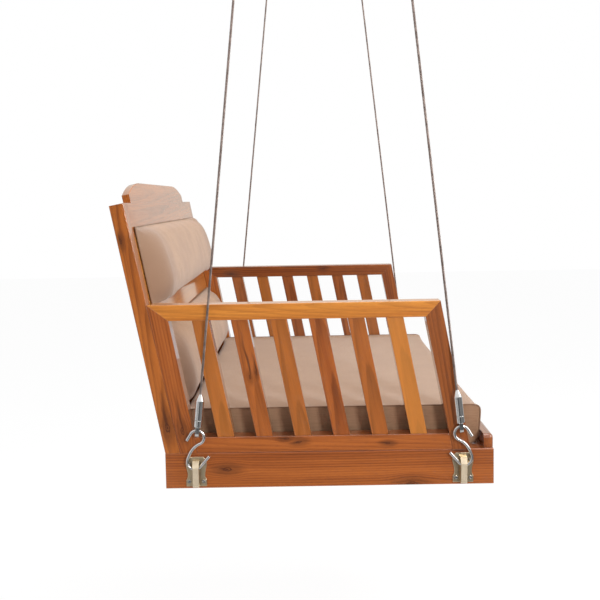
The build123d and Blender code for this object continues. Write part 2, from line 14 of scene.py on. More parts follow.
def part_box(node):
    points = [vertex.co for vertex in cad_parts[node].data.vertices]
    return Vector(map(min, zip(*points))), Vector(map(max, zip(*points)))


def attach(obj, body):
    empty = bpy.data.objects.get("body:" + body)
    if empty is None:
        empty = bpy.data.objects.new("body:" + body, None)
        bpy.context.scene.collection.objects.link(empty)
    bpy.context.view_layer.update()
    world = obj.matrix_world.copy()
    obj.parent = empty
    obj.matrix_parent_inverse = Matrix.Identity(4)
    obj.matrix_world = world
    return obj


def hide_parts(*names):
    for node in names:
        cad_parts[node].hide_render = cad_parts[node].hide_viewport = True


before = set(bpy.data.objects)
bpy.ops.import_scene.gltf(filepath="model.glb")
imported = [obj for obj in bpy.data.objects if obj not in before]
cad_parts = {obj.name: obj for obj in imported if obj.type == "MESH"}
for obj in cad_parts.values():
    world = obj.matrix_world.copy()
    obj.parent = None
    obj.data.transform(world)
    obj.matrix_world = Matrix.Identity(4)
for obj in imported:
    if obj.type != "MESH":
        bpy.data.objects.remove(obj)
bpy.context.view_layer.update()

log = logging.getLogger("jhoola")

Colour = tuple[float, float, float]
Point = tuple[float, float, float]
Pair = tuple[float, float]
Node = bpy.types.Node
NodeTree = bpy.types.NodeTree
Socket = bpy.types.NodeSocket
Mesh = bpy.types.Mesh
Piece = bpy.types.Object
Material = bpy.types.Material

WHITE: Colour = (1.0, 1.0, 1.0)

HANG_HEIGHT = 1.345443
RAIL_LENGTH = 0.660
LEAN_ANGLE = 11.0
PLANK_PITCH = 0.09933
SLAT_PITCH = 0.07608
ROPE_ACROSS = 0.621
STUD_FORWARD = 0.134
FLOOR_UP = -1.95
SEWN_WITHIN = 1e-3
WELD_WITHIN = 1e-4
SEAM_CREASE = 0.7


# --- Names --------------------------------------------------------------------------------------


class Side(Enum):
    """A side of the bench, from the sitter."""

    RIGHT = -1
    LEFT = 1


class End(Enum):
    """An end of the bench."""

    REAR = 1
    FRONT = -1


class SocketKind(Enum):
    """Kinds of group socket."""

    VALUE = "NodeSocketFloat"
    VECTOR = "NodeSocketVector"
    COLOUR = "NodeSocketColor"


class Grain(Enum):
    """Which way a board's grain runs: the turn, in degrees, that stands it along local Z."""

    ACROSS = (0.0, -90.0, 0.0)
    FORE_AFT = (90.0, 0.0, 0.0)
    LEANING = (LEAN_ANGLE, 0.0, 0.0)


def corner_name(side: Side, end: End) -> str:
    """The words that end the names of a corner's pieces."""
    return f"{end.name.lower()}_{side.name.lower()}"


def side_place(forward: float, up: float) -> Pair:
    """The (Y, Z) of a point on the bench.

    Args:
        forward: Metres in front of the side rails' rear ends.
        up: Metres above the side rails' undersides.

    Returns:
        Y and Z in metres.
    """
    return RAIL_LENGTH / 2 - forward, up - HANG_HEIGHT


# --- Node pens ----------------------------------------------------------------------------------


class Pen:
    """Writes shader nodes into one tree, from left to right."""

    def __init__(self, tree: NodeTree) -> None:
        """Starts on a tree.

        Args:
            tree: The node tree to write into.
        """
        self.tree = tree
        self.written = 0

    @classmethod
    def on(cls, owner: Material | bpy.types.World) -> "Pen":
        """Starts on the emptied tree of a material or world.

        Args:
            owner: The material or world.

        Returns:
            The pen.
        """
        owner.use_nodes = True
        owner.node_tree.nodes.clear()
        return cls(owner.node_tree)

    def node(self, kind: str, **settings: object) -> Node:
        """Adds a node.

        Args:
            kind: The node's type name.
            **settings: Properties to set on it.

        Returns:
            The new node.
        """
        node = self.tree.nodes.new(kind)
        node.location = (180 * (self.written % 12), -220 * (self.written // 12))
        self.written += 1
        for name, value in settings.items():
            setattr(node, name, value)
        return node

    def feed(self, socket: Socket, value: object) -> None:
        """Links a socket to another, or sets its value.

        Args:
            socket: The input.
            value: An output socket, a number, a vector or a colour.
        """
        if isinstance(value, Socket):
            self.tree.links.new(value, socket)
        elif socket.type == "RGBA" and len(value) == 3:
            socket.default_value = (*value, 1.0)
        else:
            socket.default_value = value

    def maths(self, operation: str, *values: object, clamp: bool = False) -> Socket:
        """A Math node's result.

        Args:
            operation: What it works out.
            *values: What it works on.
            clamp: Whether the result is kept from 0 to 1.

        Returns:
            The result.
        """
        node = self.node("ShaderNodeMath", operation=operation, use_clamp=clamp)
        for socket, value in zip(node.inputs, values):
            self.feed(socket, value)
        return node.outputs[0]

    def plus(self, first: object, second: object) -> Socket:
        """One value and another."""
        return self.maths("ADD", first, second)

    def minus(self, first: object, second: object) -> Socket:
        """One value less another."""
        return self.maths("SUBTRACT", first, second)

    def times(self, first: object, second: object) -> Socket:
        """One value times another."""
        return self.maths("MULTIPLY", first, second)

    def over(self, first: object, second: object) -> Socket:
        """One value divided by another."""
        return self.maths("DIVIDE", first, second)

    def times_plus(self, first: object, second: object, third: object) -> Socket:
        """One value times another, and a third."""
        return self.maths("MULTIPLY_ADD", first, second, third)

    def larger(self, first: object, second: object) -> Socket:
        """The larger of two values."""
        return self.maths("MAXIMUM", first, second)

    def unsigned(self, value: object) -> Socket:
        """A value without its sign."""
        return self.maths("ABSOLUTE", value)

    def reach(self, first: object, second: object) -> Socket:
        """How far a point of a plane is from its origin."""
        return self.maths("SQRT", self.times_plus(first, first, self.times(second, second)))

    def vectors(self, operation: str, *values: object) -> Socket:
        """A Vector Math node's result.

        Args:
            operation: What it works out.
            *values: What it works on.

        Returns:
            The resulting vector.
        """
        node = self.node("ShaderNodeVectorMath", operation=operation)
        for socket, value in zip(node.inputs, values):
            self.feed(socket, value)
        return node.outputs["Vector"]

    def parts(self, vector: Socket) -> tuple[Socket, ...]:
        """Takes a vector apart.

        Args:
            vector: The vector.

        Returns:
            Its X, Y and Z.
        """
        node = self.node("ShaderNodeSeparateXYZ")
        self.feed(node.inputs[0], vector)
        return tuple(node.outputs)

    def joined(self, x: object, y: object, z: object) -> Socket:
        """Puts a vector together.

        Args:
            x: Its X.
            y: Its Y.
            z: Its Z.

        Returns:
            The vector.
        """
        node = self.node("ShaderNodeCombineXYZ")
        for socket, value in zip(node.inputs, (x, y, z)):
            self.feed(socket, value)
        return node.outputs[0]

    def noise(
        self, place: object, scale: object, detail: float = 2.0, rough: float = 0.5
    ) -> Socket:
        """Noise stretched by a scale on each axis.

        Args:
            place: The vector it reads.
            scale: Cells to a metre along X, Y and Z.
            detail: Octaves.
            rough: How much the finer octaves count.

        Returns:
            A value around a half.
        """
        node = self.node("ShaderNodeTexNoise")
        stretched = self.vectors("MULTIPLY", place, scale)
        self.fit(node, Vector=stretched, Scale=1.0, Detail=detail, Roughness=rough)
        return node.outputs["Fac"]

    def span(
        self,
        value: object,
        low: float,
        high: float,
        to_low: float = 0.0,
        to_high: float = 1.0,
    ) -> Socket:
        """A value carried smoothly from one span to another.

        Args:
            value: The value.
            low: Where the span starts.
            high: Where it ends.
            to_low: The result at low and below.
            to_high: The result at high and above.

        Returns:
            The result.
        """
        node = self.node("ShaderNodeMapRange", interpolation_type="SMOOTHSTEP")
        self.fit(node, Value=value, From_Min=low, From_Max=high, To_Min=to_low, To_Max=to_high)
        return node.outputs[0]

    def blend(self, share: object, first: object, second: object) -> Socket:
        """Mixes two colours.

        Args:
            share: How much of the second.
            first: The first colour.
            second: The second.

        Returns:
            The mix.
        """
        node = self.node("ShaderNodeMix", data_type="RGBA")
        self.feed(node.inputs["Factor"], share)
        colours = [socket for socket in node.inputs if socket.type == "RGBA"]
        self.feed(colours[0], first)
        self.feed(colours[1], second)
        return next(socket for socket in node.outputs if socket.type == "RGBA")

    def bump(
        self,
        height: Socket,
        strength: float,
        depth: float,
        normal: Socket | None = None,
    ) -> Socket:
        """A normal tilted by a height.

        Args:
            height: The height.
            strength: How much it counts.
            depth: How far it reaches, in metres.
            normal: The normal that it tilts, or none for the mesh's own.

        Returns:
            The new normal.
        """
        node = self.fit(self.node("ShaderNodeBump"), Strength=strength, Distance=depth, Height=height)
        if normal is not None:
            self.feed(node.inputs["Normal"], normal)
        return node.outputs["Normal"]

    def glow(self, kind: str, colour: object, strength: object) -> Socket:
        """An Emission or Background shader of a kind, colour and strength."""
        return self.fit(self.node(kind), Color=colour, Strength=strength).outputs[0]

    def either(self, share: object, *shaders: Socket) -> Socket:
        """A mix of two shaders, share of the second."""
        node = self.node("ShaderNodeMixShader")
        for socket, value in zip(node.inputs, (share, *shaders)):
            self.feed(socket, value)
        return node.outputs[0]

    def fit(self, node: Node, **values: object) -> Node:
        """Feeds a node's inputs by name.

        Args:
            node: The node.
            **values: Its inputs, with an underscore for each space in a name.

        Returns:
            The node.
        """
        for name, value in values.items():
            self.feed(node.inputs[name.replace("_", " ")], value)
        return node

    def group(self, tree: NodeTree, **values: object) -> Node:
        """Places an effect group and feeds its inputs."""
        return self.fit(self.node("ShaderNodeGroup", node_tree=tree), **values)


class EffectGroup:
    """A shader node group under construction."""

    def __init__(self, name: str) -> None:
        """Opens an empty group.

        Args:
            name: The group's name.
        """
        self.tree = bpy.data.node_groups.new(name, "ShaderNodeTree")
        self.pen = Pen(self.tree)
        self.entry = self.pen.node("NodeGroupInput")
        self.exit = self.pen.node("NodeGroupOutput")

    def takes(self, name: str, kind: SocketKind, default: object = None) -> Socket:
        """Adds an input.

        Args:
            name: Its name.
            kind: Its kind.
            default: Its value when nothing is set.

        Returns:
            The socket to read inside the group.
        """
        socket = self.tree.interface.new_socket(name, in_out="INPUT", socket_type=kind.value)
        if default is not None:
            socket.default_value = default
        return self.entry.outputs[name]

    def gives(self, name: str, kind: SocketKind, value: Socket) -> None:
        """Adds an output and feeds it."""
        self.tree.interface.new_socket(name, in_out="OUTPUT", socket_type=kind.value)
        self.pen.feed(self.exit.inputs[name], value)


# --- Effects ------------------------------------------------------------------------------------


def timber_figure() -> NodeTree:
    """Growth rings, streaks, fibres and pores of a sawn board whose grain runs along Z.

    Returns:
        The group. Its outputs are Colour, Roughness and Height.
    """
    group = EffectGroup("timber_figure")
    pen = group.pen
    place = group.takes("Vector", SocketKind.VECTOR)
    seed = group.takes("Seed", SocketKind.VALUE, 0.0)
    pith = group.takes("Pith", SocketKind.VECTOR, (0.03, 0.06, 0.0))
    ring_gap = group.takes("Ring Gap", SocketKind.VALUE, 0.006)
    figure = group.takes("Figure", SocketKind.VALUE, 0.5)
    light = group.takes("Light", SocketKind.COLOUR, (0.6, 0.2, 0.04, 1.0))
    warm = group.takes("Warm", SocketKind.COLOUR, (0.4, 0.1, 0.02, 1.0))
    dark = group.takes("Dark", SocketKind.COLOUR, (0.12, 0.03, 0.01, 1.0))

    moved = pen.vectors("ADD", place, pen.vectors("MULTIPLY", pen.joined(seed, seed, seed), (3.1, 1.7, 5.3)))
    sway = pen.minus(pen.noise(moved, (8.0, 8.0, 1.7), 2.0), 0.5)
    ripple = pen.minus(pen.noise(moved, (85.0, 85.0, 9.0), 3.0), 0.5)
    x, y, z = pen.parts(pen.vectors("ADD", place, pith))
    drift = pen.times_plus(z, 0.03, x)
    bent = pen.times_plus(sway, 0.012, pen.reach(drift, y))
    bent = pen.times_plus(ripple, 0.0022, bent)
    rings = pen.over(bent, ring_gap)
    phase = pen.maths("FRACT", rings)
    late = pen.times(pen.span(phase, 0.3, 0.88), pen.span(phase, 0.9, 1.0, 1.0, 0.0))
    year = pen.node("ShaderNodeTexWhiteNoise", noise_dimensions="1D")
    pen.feed(year.inputs["W"], pen.plus(pen.maths("FLOOR", rings), seed))
    fibre = pen.noise(moved, (480.0, 480.0, 11.0), 3.0, 0.6)
    streak = pen.noise(moved, (38.0, 38.0, 1.3), 3.0, 0.6)
    pore = pen.span(pen.noise(moved, (1500.0, 1500.0, 60.0), 1.0), 0.60, 0.72)

    share = pen.times_plus(year.outputs["Value"], 0.06, pen.times(streak, 0.9))
    colour = pen.blend(pen.span(share, 0.30, 0.72), light, warm)
    line = pen.times(late, pen.times(figure, pen.span(streak, 0.3, 0.7, 0.45, 1.0)))
    colour = pen.blend(line, colour, dark)
    colour = pen.blend(pen.span(fibre, 0.45, 0.8, 0.0, 0.34), colour, dark)
    colour = pen.blend(pen.times(pore, 0.4), colour, dark)
    rough = pen.times_plus(fibre, 0.16, 0.24)
    height = pen.minus(pen.times(fibre, 0.5), pen.times_plus(line, 0.3, pore))
    group.gives("Colour", SocketKind.COLOUR, colour)
    group.gives("Roughness", SocketKind.VALUE, rough)
    group.gives("Height", SocketKind.VALUE, height)
    return group.tree


def timber_knot() -> NodeTree:
    """A knot that runs through a board along local X, bends the grain and trails a dark vein.

    Returns:
        The group. Its outputs are Vector, the bent place, and Shade, how dark the knot is.
    """
    group = EffectGroup("timber_knot")
    pen = group.pen
    place = group.takes("Vector", SocketKind.VECTOR)
    centre = group.takes("Centre", SocketKind.VECTOR)
    size = group.takes("Size", SocketKind.VALUE, 0.006)
    tail = group.takes("Tail", SocketKind.VALUE, 0.03)
    before = group.takes("Shade", SocketKind.VALUE, 0.0)

    x, y, z = pen.parts(place)
    _, offset_y, offset_z = pen.parts(pen.vectors("SUBTRACT", place, centre))
    reach = pen.reach(offset_y, pen.over(offset_z, 2.3))
    wobble = pen.minus(pen.noise(place, (300.0, 300.0, 120.0), 2.0), 0.5)
    rho = pen.times_plus(wobble, 0.5, pen.over(reach, size))
    pull = pen.span(rho, 0.0, 4.2, 0.85, 0.0)
    bent_y = pen.minus(y, pen.times(offset_y, pull))
    core = pen.span(rho, 0.55, 1.1, 0.9, 0.0)
    ring = pen.times_plus(pen.maths("SINE", pen.times(rho, 16.0)), 0.2, 0.8)
    halo = pen.span(rho, 0.9, 3.2, 0.45, 0.0)
    shade = pen.larger(pen.times(core, ring), halo)
    along = pen.over(offset_z, tail)
    sway = pen.minus(pen.noise(place, (30.0, 30.0, 14.0), 2.0), 0.5)
    beside = pen.over(pen.unsigned(pen.times_plus(sway, 0.012, offset_y)), size)
    vein = pen.times(pen.span(beside, 0.1, 0.9, 0.8, 0.0), pen.span(along, 0.2, 1.0, 1.0, 0.0))
    vein = pen.times(vein, pen.span(along, -0.05, 0.05))
    shade = pen.larger(shade, vein)
    group.gives("Vector", SocketKind.VECTOR, pen.joined(x, bent_y, z))
    group.gives("Shade", SocketKind.VALUE, pen.larger(before, shade))
    return group.tree


def board_split() -> NodeTree:
    """Gives each board of a row its own stretch of timber.

    Returns:
        The group. Its outputs are Vector, centred on each board, Seed, and Number, its place.
    """
    group = EffectGroup("board_split")
    pen = group.pen
    place = group.takes("Vector", SocketKind.VECTOR)
    pitch = group.takes("Pitch", SocketKind.VALUE, 0.1)
    seed = group.takes("Seed", SocketKind.VALUE, 0.0)
    x, y, z = pen.parts(place)
    number = pen.maths("FLOOR", pen.over(y, pitch))
    own = pen.minus(y, pen.times(pen.plus(number, 0.5), pitch))
    draw = pen.node("ShaderNodeTexWhiteNoise", noise_dimensions="1D")
    pen.feed(draw.inputs["W"], pen.plus(number, seed))
    value = draw.outputs["Value"]
    group.gives("Vector", SocketKind.VECTOR, pen.joined(x, own, z))
    group.gives("Seed", SocketKind.VALUE, pen.times_plus(value, 9.0, seed))
    group.gives("Number", SocketKind.VALUE, number)
    return group.tree


def wear_and_crevice_shade() -> NodeTree:
    """Where edges are worn, where crevices take painted shade from an ambient-occlusion mask, and a normal
    that softens the edges.

    Returns:
        The group. Its outputs are Wear, Crevice and Normal.
    """
    group = EffectGroup("wear_and_crevice_shade")
    pen = group.pen
    place = group.takes("Vector", SocketKind.VECTOR)
    width = group.takes("Width", SocketKind.VALUE, 0.002)
    soft = pen.node("ShaderNodeBevel", samples=4)
    pen.feed(soft.inputs["Radius"], width)
    geometry = pen.node("ShaderNodeNewGeometry")
    dot = pen.node("ShaderNodeVectorMath", operation="DOT_PRODUCT")
    pen.feed(dot.inputs[0], soft.outputs["Normal"])
    pen.feed(dot.inputs[1], geometry.outputs["Normal"])
    patch = pen.noise(place, (60.0, 60.0, 60.0), 3.0, 0.6)
    edge = pen.span(dot.outputs["Value"], 0.86, 0.985, 1.0, 0.0)
    # Painted shade: an ambient-occlusion mask of the crevices and joints where shade falls, which the
    # finishes darken.
    close = pen.node("ShaderNodeAmbientOcclusion", samples=6, only_local=False)
    pen.feed(close.inputs["Distance"], 0.008)
    group.gives("Wear", SocketKind.VALUE, pen.times(edge, pen.span(patch, 0.42, 0.62)))
    group.gives("Crevice Shade", SocketKind.VALUE, pen.span(close.outputs["AO"], 0.25, 0.85, 1.0, 0.0))
    group.gives("Normal", SocketKind.VECTOR, soft.outputs["Normal"])
    return group.tree


def cloth_weave() -> NodeTree:
    """Threads, slubs and a soft uneven nap.

    Returns:
        The group. Its outputs are Colour and Height.
    """
    group = EffectGroup("cloth_weave")
    pen = group.pen
    place = group.takes("Vector", SocketKind.VECTOR)
    pitch = group.takes("Pitch", SocketKind.VALUE, 0.0012)
    slub_share = group.takes("Slubs", SocketKind.VALUE, 0.4)
    nap_share = group.takes("Nap", SocketKind.VALUE, 0.5)
    light = group.takes("Light", SocketKind.COLOUR, (0.6, 0.45, 0.3, 1.0))
    shade = group.takes("Shade", SocketKind.COLOUR, (0.45, 0.33, 0.22, 1.0))

    turns = pen.over(2 * math.pi, pitch)
    scaled = pen.vectors("MULTIPLY", place, pen.joined(turns, turns, turns))
    wave_x, wave_y, wave_z = (pen.maths("SINE", part) for part in pen.parts(scaled))
    threads = pen.times(wave_x, wave_y)
    threads = pen.times_plus(wave_y, wave_z, threads)
    threads = pen.times_plus(wave_z, wave_x, threads)
    slub = pen.noise(place, (420.0, 16.0, 420.0), 3.0, 0.6)
    cross = pen.noise(place, (14.0, 520.0, 14.0), 2.0, 0.6)
    nap = pen.noise(place, (16.0, 16.0, 16.0), 4.0, 0.55)
    share = pen.times(pen.span(slub, 0.35, 0.68), slub_share)
    share = pen.times_plus(pen.span(nap, 0.34, 0.66), nap_share, share)
    share = pen.times_plus(pen.span(cross, 0.4, 0.7), 0.12, share)
    share = pen.maths("MULTIPLY_ADD", threads, 0.06, share, clamp=True)
    height = pen.times_plus(slub, 0.6, pen.times(threads, 0.3))
    group.gives("Colour", SocketKind.COLOUR, pen.blend(share, light, shade))
    group.gives("Height", SocketKind.VALUE, height)
    return group.tree


def handled_metal() -> NodeTree:
    """Fine scratches, finger marks and tarnish on metal.

    Returns:
        The group. Its outputs are Colour, Roughness and Height.
    """
    group = EffectGroup("handled_metal")
    pen = group.pen
    place = group.takes("Vector", SocketKind.VECTOR)
    clean = group.takes("Clean", SocketKind.COLOUR, (0.7, 0.7, 0.7, 1.0))
    tarnish = group.takes("Tarnish", SocketKind.COLOUR, (0.4, 0.4, 0.4, 1.0))
    share = group.takes("Tarnish Share", SocketKind.VALUE, 0.3)
    rough = group.takes("Roughness", SocketKind.VALUE, 0.2)
    stretch = group.takes("Scratch Stretch", SocketKind.VECTOR, (2200.0, 2200.0, 90.0))
    scratch = pen.noise(place, stretch)
    smear = pen.noise(place, (70.0, 70.0, 70.0), 3.0, 0.5)
    spots = pen.span(smear, 0.40, 0.70)
    group.gives("Colour", SocketKind.COLOUR, pen.blend(pen.times(spots, share), clean, tarnish))
    spread = pen.times_plus(spots, 0.07, rough)
    group.gives("Roughness", SocketKind.VALUE, pen.times_plus(scratch, 0.08, spread))
    group.gives("Height", SocketKind.VALUE, scratch)
    return group.tree


@dataclass
class Effects:
    """The effect groups that the finishes share."""

    figure: NodeTree
    knot: NodeTree
    split: NodeTree
    wear: NodeTree
    weave: NodeTree
    metal: NodeTree

    @classmethod
    def build(cls) -> "Effects":
        """Builds every group once."""
        return cls(timber_figure(), timber_knot(), board_split(), wear_and_crevice_shade(), cloth_weave(), handled_metal())


def new_material(name: str) -> tuple[Material, Pen, Node, Socket]:
    """An empty material with its shader.

    Args:
        name: The material's name.

    Returns:
        The material, a pen on its tree, the shader, and the Object coordinates.
    """
    material = bpy.data.materials.new(name)
    pen = Pen.on(material)
    place = pen.node("ShaderNodeTexCoord").outputs["Object"]
    shader = pen.node("ShaderNodeBsdfPrincipled")
    pen.feed(pen.node("ShaderNodeOutputMaterial").inputs["Surface"], shader.outputs[0])
    return material, pen, shader, place


# --- Timber -------------------------------------------------------------------------------------


@dataclass(frozen=True)
class Tone:
    """A board's three colours."""

    light: Colour
    warm: Colour
    dark: Colour


HONEY = Tone((0.72, 0.285, 0.044), (0.50, 0.158, 0.022), (0.19, 0.048, 0.007))
AMBER = Tone((0.49, 0.146, 0.022), (0.33, 0.084, 0.012), (0.11, 0.025, 0.004))
RUSSET = Tone((0.42, 0.114, 0.020), (0.275, 0.065, 0.011), (0.083, 0.018, 0.003))
UMBER = Tone((0.32, 0.088, 0.016), (0.20, 0.048, 0.009), (0.057, 0.013, 0.003))


@dataclass(frozen=True)
class Knot:
    """A knot's place on the bench, its size, and the length of its vein, in metres."""

    forward: float
    up: float
    size: float
    tail: float = 0.03


@dataclass(frozen=True)
class Board:
    """How a wooden piece is cut: its grain, tone, rings and knots."""

    node: str
    grain: Grain
    tone: Tone
    seed: float
    pith: Pair = (0.05, 0.03)
    ring_gap: float = 0.0048
    figure: float = 0.5
    pitch: float = 0.0
    knots: tuple[Knot, ...] = ()
    paler: tuple[float, ...] = ()
    coated: float = 1.0


@dataclass(frozen=True)
class Lacquer:
    """The clear coat on the timber."""

    coat: float = 1.0
    coat_roughness: float = 0.07
    under_gloss: float = 0.2
    coat_ior: float = 1.55
    bump_depth: float = 0.00035
    bump_strength: float = 0.35
    worn: Colour = (0.62, 0.26, 0.09)
    worn_width: float = 0.0016
    worn_share: float = 0.35
    # Painted shade: how far crevices and joints darken towards a board's dark tone.
    crevice_shade_share: float = 0.3
    knot: Colour = (0.050, 0.014, 0.006)


class Joinery:
    """Every wooden piece, with its own cut of teak."""

    boards: tuple[Board, ...] = (
        Board("side_rail_right", Grain.FORE_AFT, RUSSET, 1.3, (0.02, 0.055), 0.0052, 0.5, knots=(
            Knot(0.124, 0.038, 0.0065), Knot(0.497, 0.002, 0.008), Knot(0.595, 0.069, 0.003))),
        Board("side_rail_left", Grain.FORE_AFT, RUSSET, 2.9, (0.05, 0.02), 0.0050, 0.45, knots=(
            Knot(0.41, 0.05, 0.005),)),
        Board("rear_rail", Grain.ACROSS, AMBER, 3.7, (0.04, 0.03), 0.0048),
        Board("front_rail", Grain.ACROSS, RUSSET, 4.1, (0.03, 0.04), 0.0050, coated=0.1),
        Board("frame_dowels", Grain.ACROSS, HONEY, 4.6, (0.01, 0.01), 0.003),
        Board("seat_cleats", Grain.FORE_AFT, AMBER, 5.2),
        Board("centre_bearer", Grain.FORE_AFT, AMBER, 5.9),
        Board("seat_planks", Grain.ACROSS, AMBER, 6.3, (0.06, 0.02), 0.0050, 0.45, PLANK_PITCH,
              paler=(0.1, 0.3, 0.0, 0.2, 0.05, 0.25), coated=0.1),
        Board("front_lip", Grain.ACROSS, UMBER, 7.7, (0.02, 0.05), 0.0045, 0.45),
        Board("back_post_right", Grain.LEANING, AMBER, 8.8, (0.06, 0.012), 0.0042, 0.5, knots=(
            Knot(0.006, 0.125, 0.008, 0.09), Knot(-0.075, 0.500, 0.004))),
        Board("back_post_left", Grain.LEANING, RUSSET, 9.4, (0.05, 0.02), 0.0044),
        Board("back_top_rail", Grain.ACROSS, AMBER, 10.1, (0.03, 0.05), 0.0045),
        Board("back_bottom_rail", Grain.ACROSS, AMBER, 10.9),
        Board("back_panel", Grain.ACROSS, HONEY, 11.6, (0.02, 0.12), 0.0075, 0.35),
        Board("crest_board", Grain.ACROSS, AMBER, 12.2, (0.02, 0.06), 0.0045),
        Board("arm_top_right", Grain.FORE_AFT, HONEY, 13.5, (0.05, 0.012), 0.0034, 0.30),
        Board("arm_top_left", Grain.FORE_AFT, UMBER, 14.3, (0.04, 0.02), 0.0042, 0.55, knots=(
            Knot(0.344, 0.362, 0.004), Knot(0.06, 0.350, 0.005))),
        Board("arm_bottom_right", Grain.FORE_AFT, RUSSET, 15.1, (0.05, 0.02), 0.0056, 0.42, knots=(
            Knot(0.244, 0.099, 0.004), Knot(0.269, 0.092, 0.0045), Knot(0.448, 0.086, 0.0035))),
        Board("arm_bottom_left", Grain.FORE_AFT, RUSSET, 15.9),
        Board("arm_rear_upright_right", Grain.LEANING, RUSSET, 16.4, (0.04, 0.03), 0.0050, 0.5, knots=(
            Knot(0.036, 0.118, 0.006, 0.10),)),
        Board("arm_rear_upright_left", Grain.LEANING, AMBER, 17.2),
        Board("arm_front_upright_right", Grain.LEANING, UMBER, 18.7, (0.05, 0.015), 0.0052, 0.5),
        Board("arm_front_upright_left", Grain.LEANING, UMBER, 19.1),
        Board("arm_slats_right", Grain.LEANING, RUSSET, 20.6, (0.06, 0.004), 0.0050, 0.48, SLAT_PITCH, knots=(
            Knot(0.174, 0.225, 0.0035, 0.12), Knot(0.186, 0.232, 0.003, 0.05)),
            paler=(0.42, 0.10, 0.0, 0.14, 0.03, 0.2)),
        Board("arm_slats_left", Grain.LEANING, UMBER, 21.8, (0.05, 0.006), 0.0055, 0.5, SLAT_PITCH,
              paler=(0.1, 0.0, 0.15, 0.0, 0.2, 0.05)),
    )

    def __init__(self, effects: Effects, lacquer: Lacquer) -> None:
        """Takes the shared effects and the clear coat."""
        self.effects = effects
        self.lacquer = lacquer

    def dress(self) -> None:
        """Gives every wooden piece its material."""
        for board in self.boards:
            assign(board.node, self.material(board))
            log.info("timber: %s", board.node)

    def material(self, board: Board) -> Material:
        """The material of one board.

        Args:
            board: How the piece is cut.

        Returns:
            The material.
        """
        effects, coat = self.effects, self.lacquer
        material, pen, shader, place = new_material(f"teak_{board.node}")
        angles = [math.radians(angle) for angle in board.grain.value]
        turn = Euler(angles).to_matrix()
        low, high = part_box(board.node)
        centre = (low + high) / 2
        if board.pitch:
            centre = self.row_start(board, turn, low, high)
        mapping = pen.node("ShaderNodeMapping", vector_type="POINT")
        pen.fit(mapping, Vector=place, Rotation=angles, Location=-(turn @ centre))
        local, shade = mapping.outputs["Vector"], None
        for knot in board.knots:
            y, z = side_place(knot.forward, knot.up)
            at = turn @ (Vector((centre.x, y, z)) - centre)
            node = pen.group(effects.knot, Vector=local, Centre=at, Size=knot.size, Tail=knot.tail)
            if shade is not None:
                pen.feed(node.inputs["Shade"], shade)
            local, shade = node.outputs["Vector"], node.outputs["Shade"]
        seed, number = board.seed, None
        if board.pitch:
            row = pen.group(effects.split, Vector=local, Pitch=board.pitch, Seed=board.seed)
            local, seed, number = row.outputs["Vector"], row.outputs["Seed"], row.outputs["Number"]
        figure = pen.group(
            effects.figure,
            Vector=local,
            Seed=seed,
            Pith=(*board.pith, 0.0),
            Ring_Gap=board.ring_gap,
            Figure=board.figure,
            Light=board.tone.light,
            Warm=board.tone.warm,
            Dark=board.tone.dark,
        )
        wear = pen.group(effects.wear, Vector=place, Width=coat.worn_width)
        edge_normal = wear.outputs["Normal"]
        colour = figure.outputs["Colour"]
        if number is not None:
            colour = pen.blend(self.paler_share(pen, number, board), colour, HONEY.light)
        if shade is not None:
            colour = pen.blend(shade, colour, coat.knot)
        colour = pen.blend(pen.times(wear.outputs["Wear"], coat.worn_share), colour, coat.worn)
        # Painted shade: crevices and joints darkened towards the board's dark tone by the ambient-occlusion
        # mask.
        colour = pen.blend(pen.times(wear.outputs["Crevice Shade"], coat.crevice_shade_share), colour, board.tone.dark)
        normal = pen.bump(figure.outputs["Height"], coat.bump_strength, coat.bump_depth, edge_normal)
        pen.fit(
            shader,
            Base_Color=colour,
            Roughness=figure.outputs["Roughness"],
            Normal=normal,
            Coat_Normal=edge_normal,
            Specular_IOR_Level=coat.under_gloss,
            Coat_Weight=coat.coat * board.coated,
            Coat_Roughness=coat.coat_roughness,
            Coat_IOR=coat.coat_ior,
        )
        return material

    @staticmethod
    def paler_share(pen: Pen, number: Socket, board: Board) -> Socket:
        """How much paler each board of a row is.

        Args:
            pen: A pen on the material.
            number: The board's place in the row.
            board: The row.

        Returns:
            The share of pale tone.
        """
        share = 0.0
        for place, paler in enumerate(board.paler):
            here = pen.maths("COMPARE", number, float(place), 0.5)
            share = pen.times_plus(here, paler, share)
        return share

    @staticmethod
    def row_start(board: Board, turn: Matrix, low: Vector, high: Vector) -> Vector:
        """The point from which a row of boards is counted.

        Args:
            board: The row.
            turn: The turn that stands its grain along local Z.
            low: The row's lowest corner.
            high: Its highest corner.

        Returns:
            A point of the row whose local Y lies half a gap before the first board.
        """
        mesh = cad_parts[board.node].data
        across = [(turn @ vertex.co).y for vertex in mesh.vertices]
        first, last = min(across), max(across)
        count = round((last - first) / board.pitch + 0.3)
        gap = board.pitch - (last - first - (count - 1) * board.pitch)
        local = turn @ ((low + high) / 2)
        local.y = first - gap / 2
        return turn.inverted() @ local


def assign(node: str, material: Material) -> None:
    """Gives a CAD node a material in each of its slots.

    Args:
        node: The node's name.
        material: Its material.
    """
    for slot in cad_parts[node].material_slots:
        slot.material = material


# --- Metal --------------------------------------------------------------------------------------


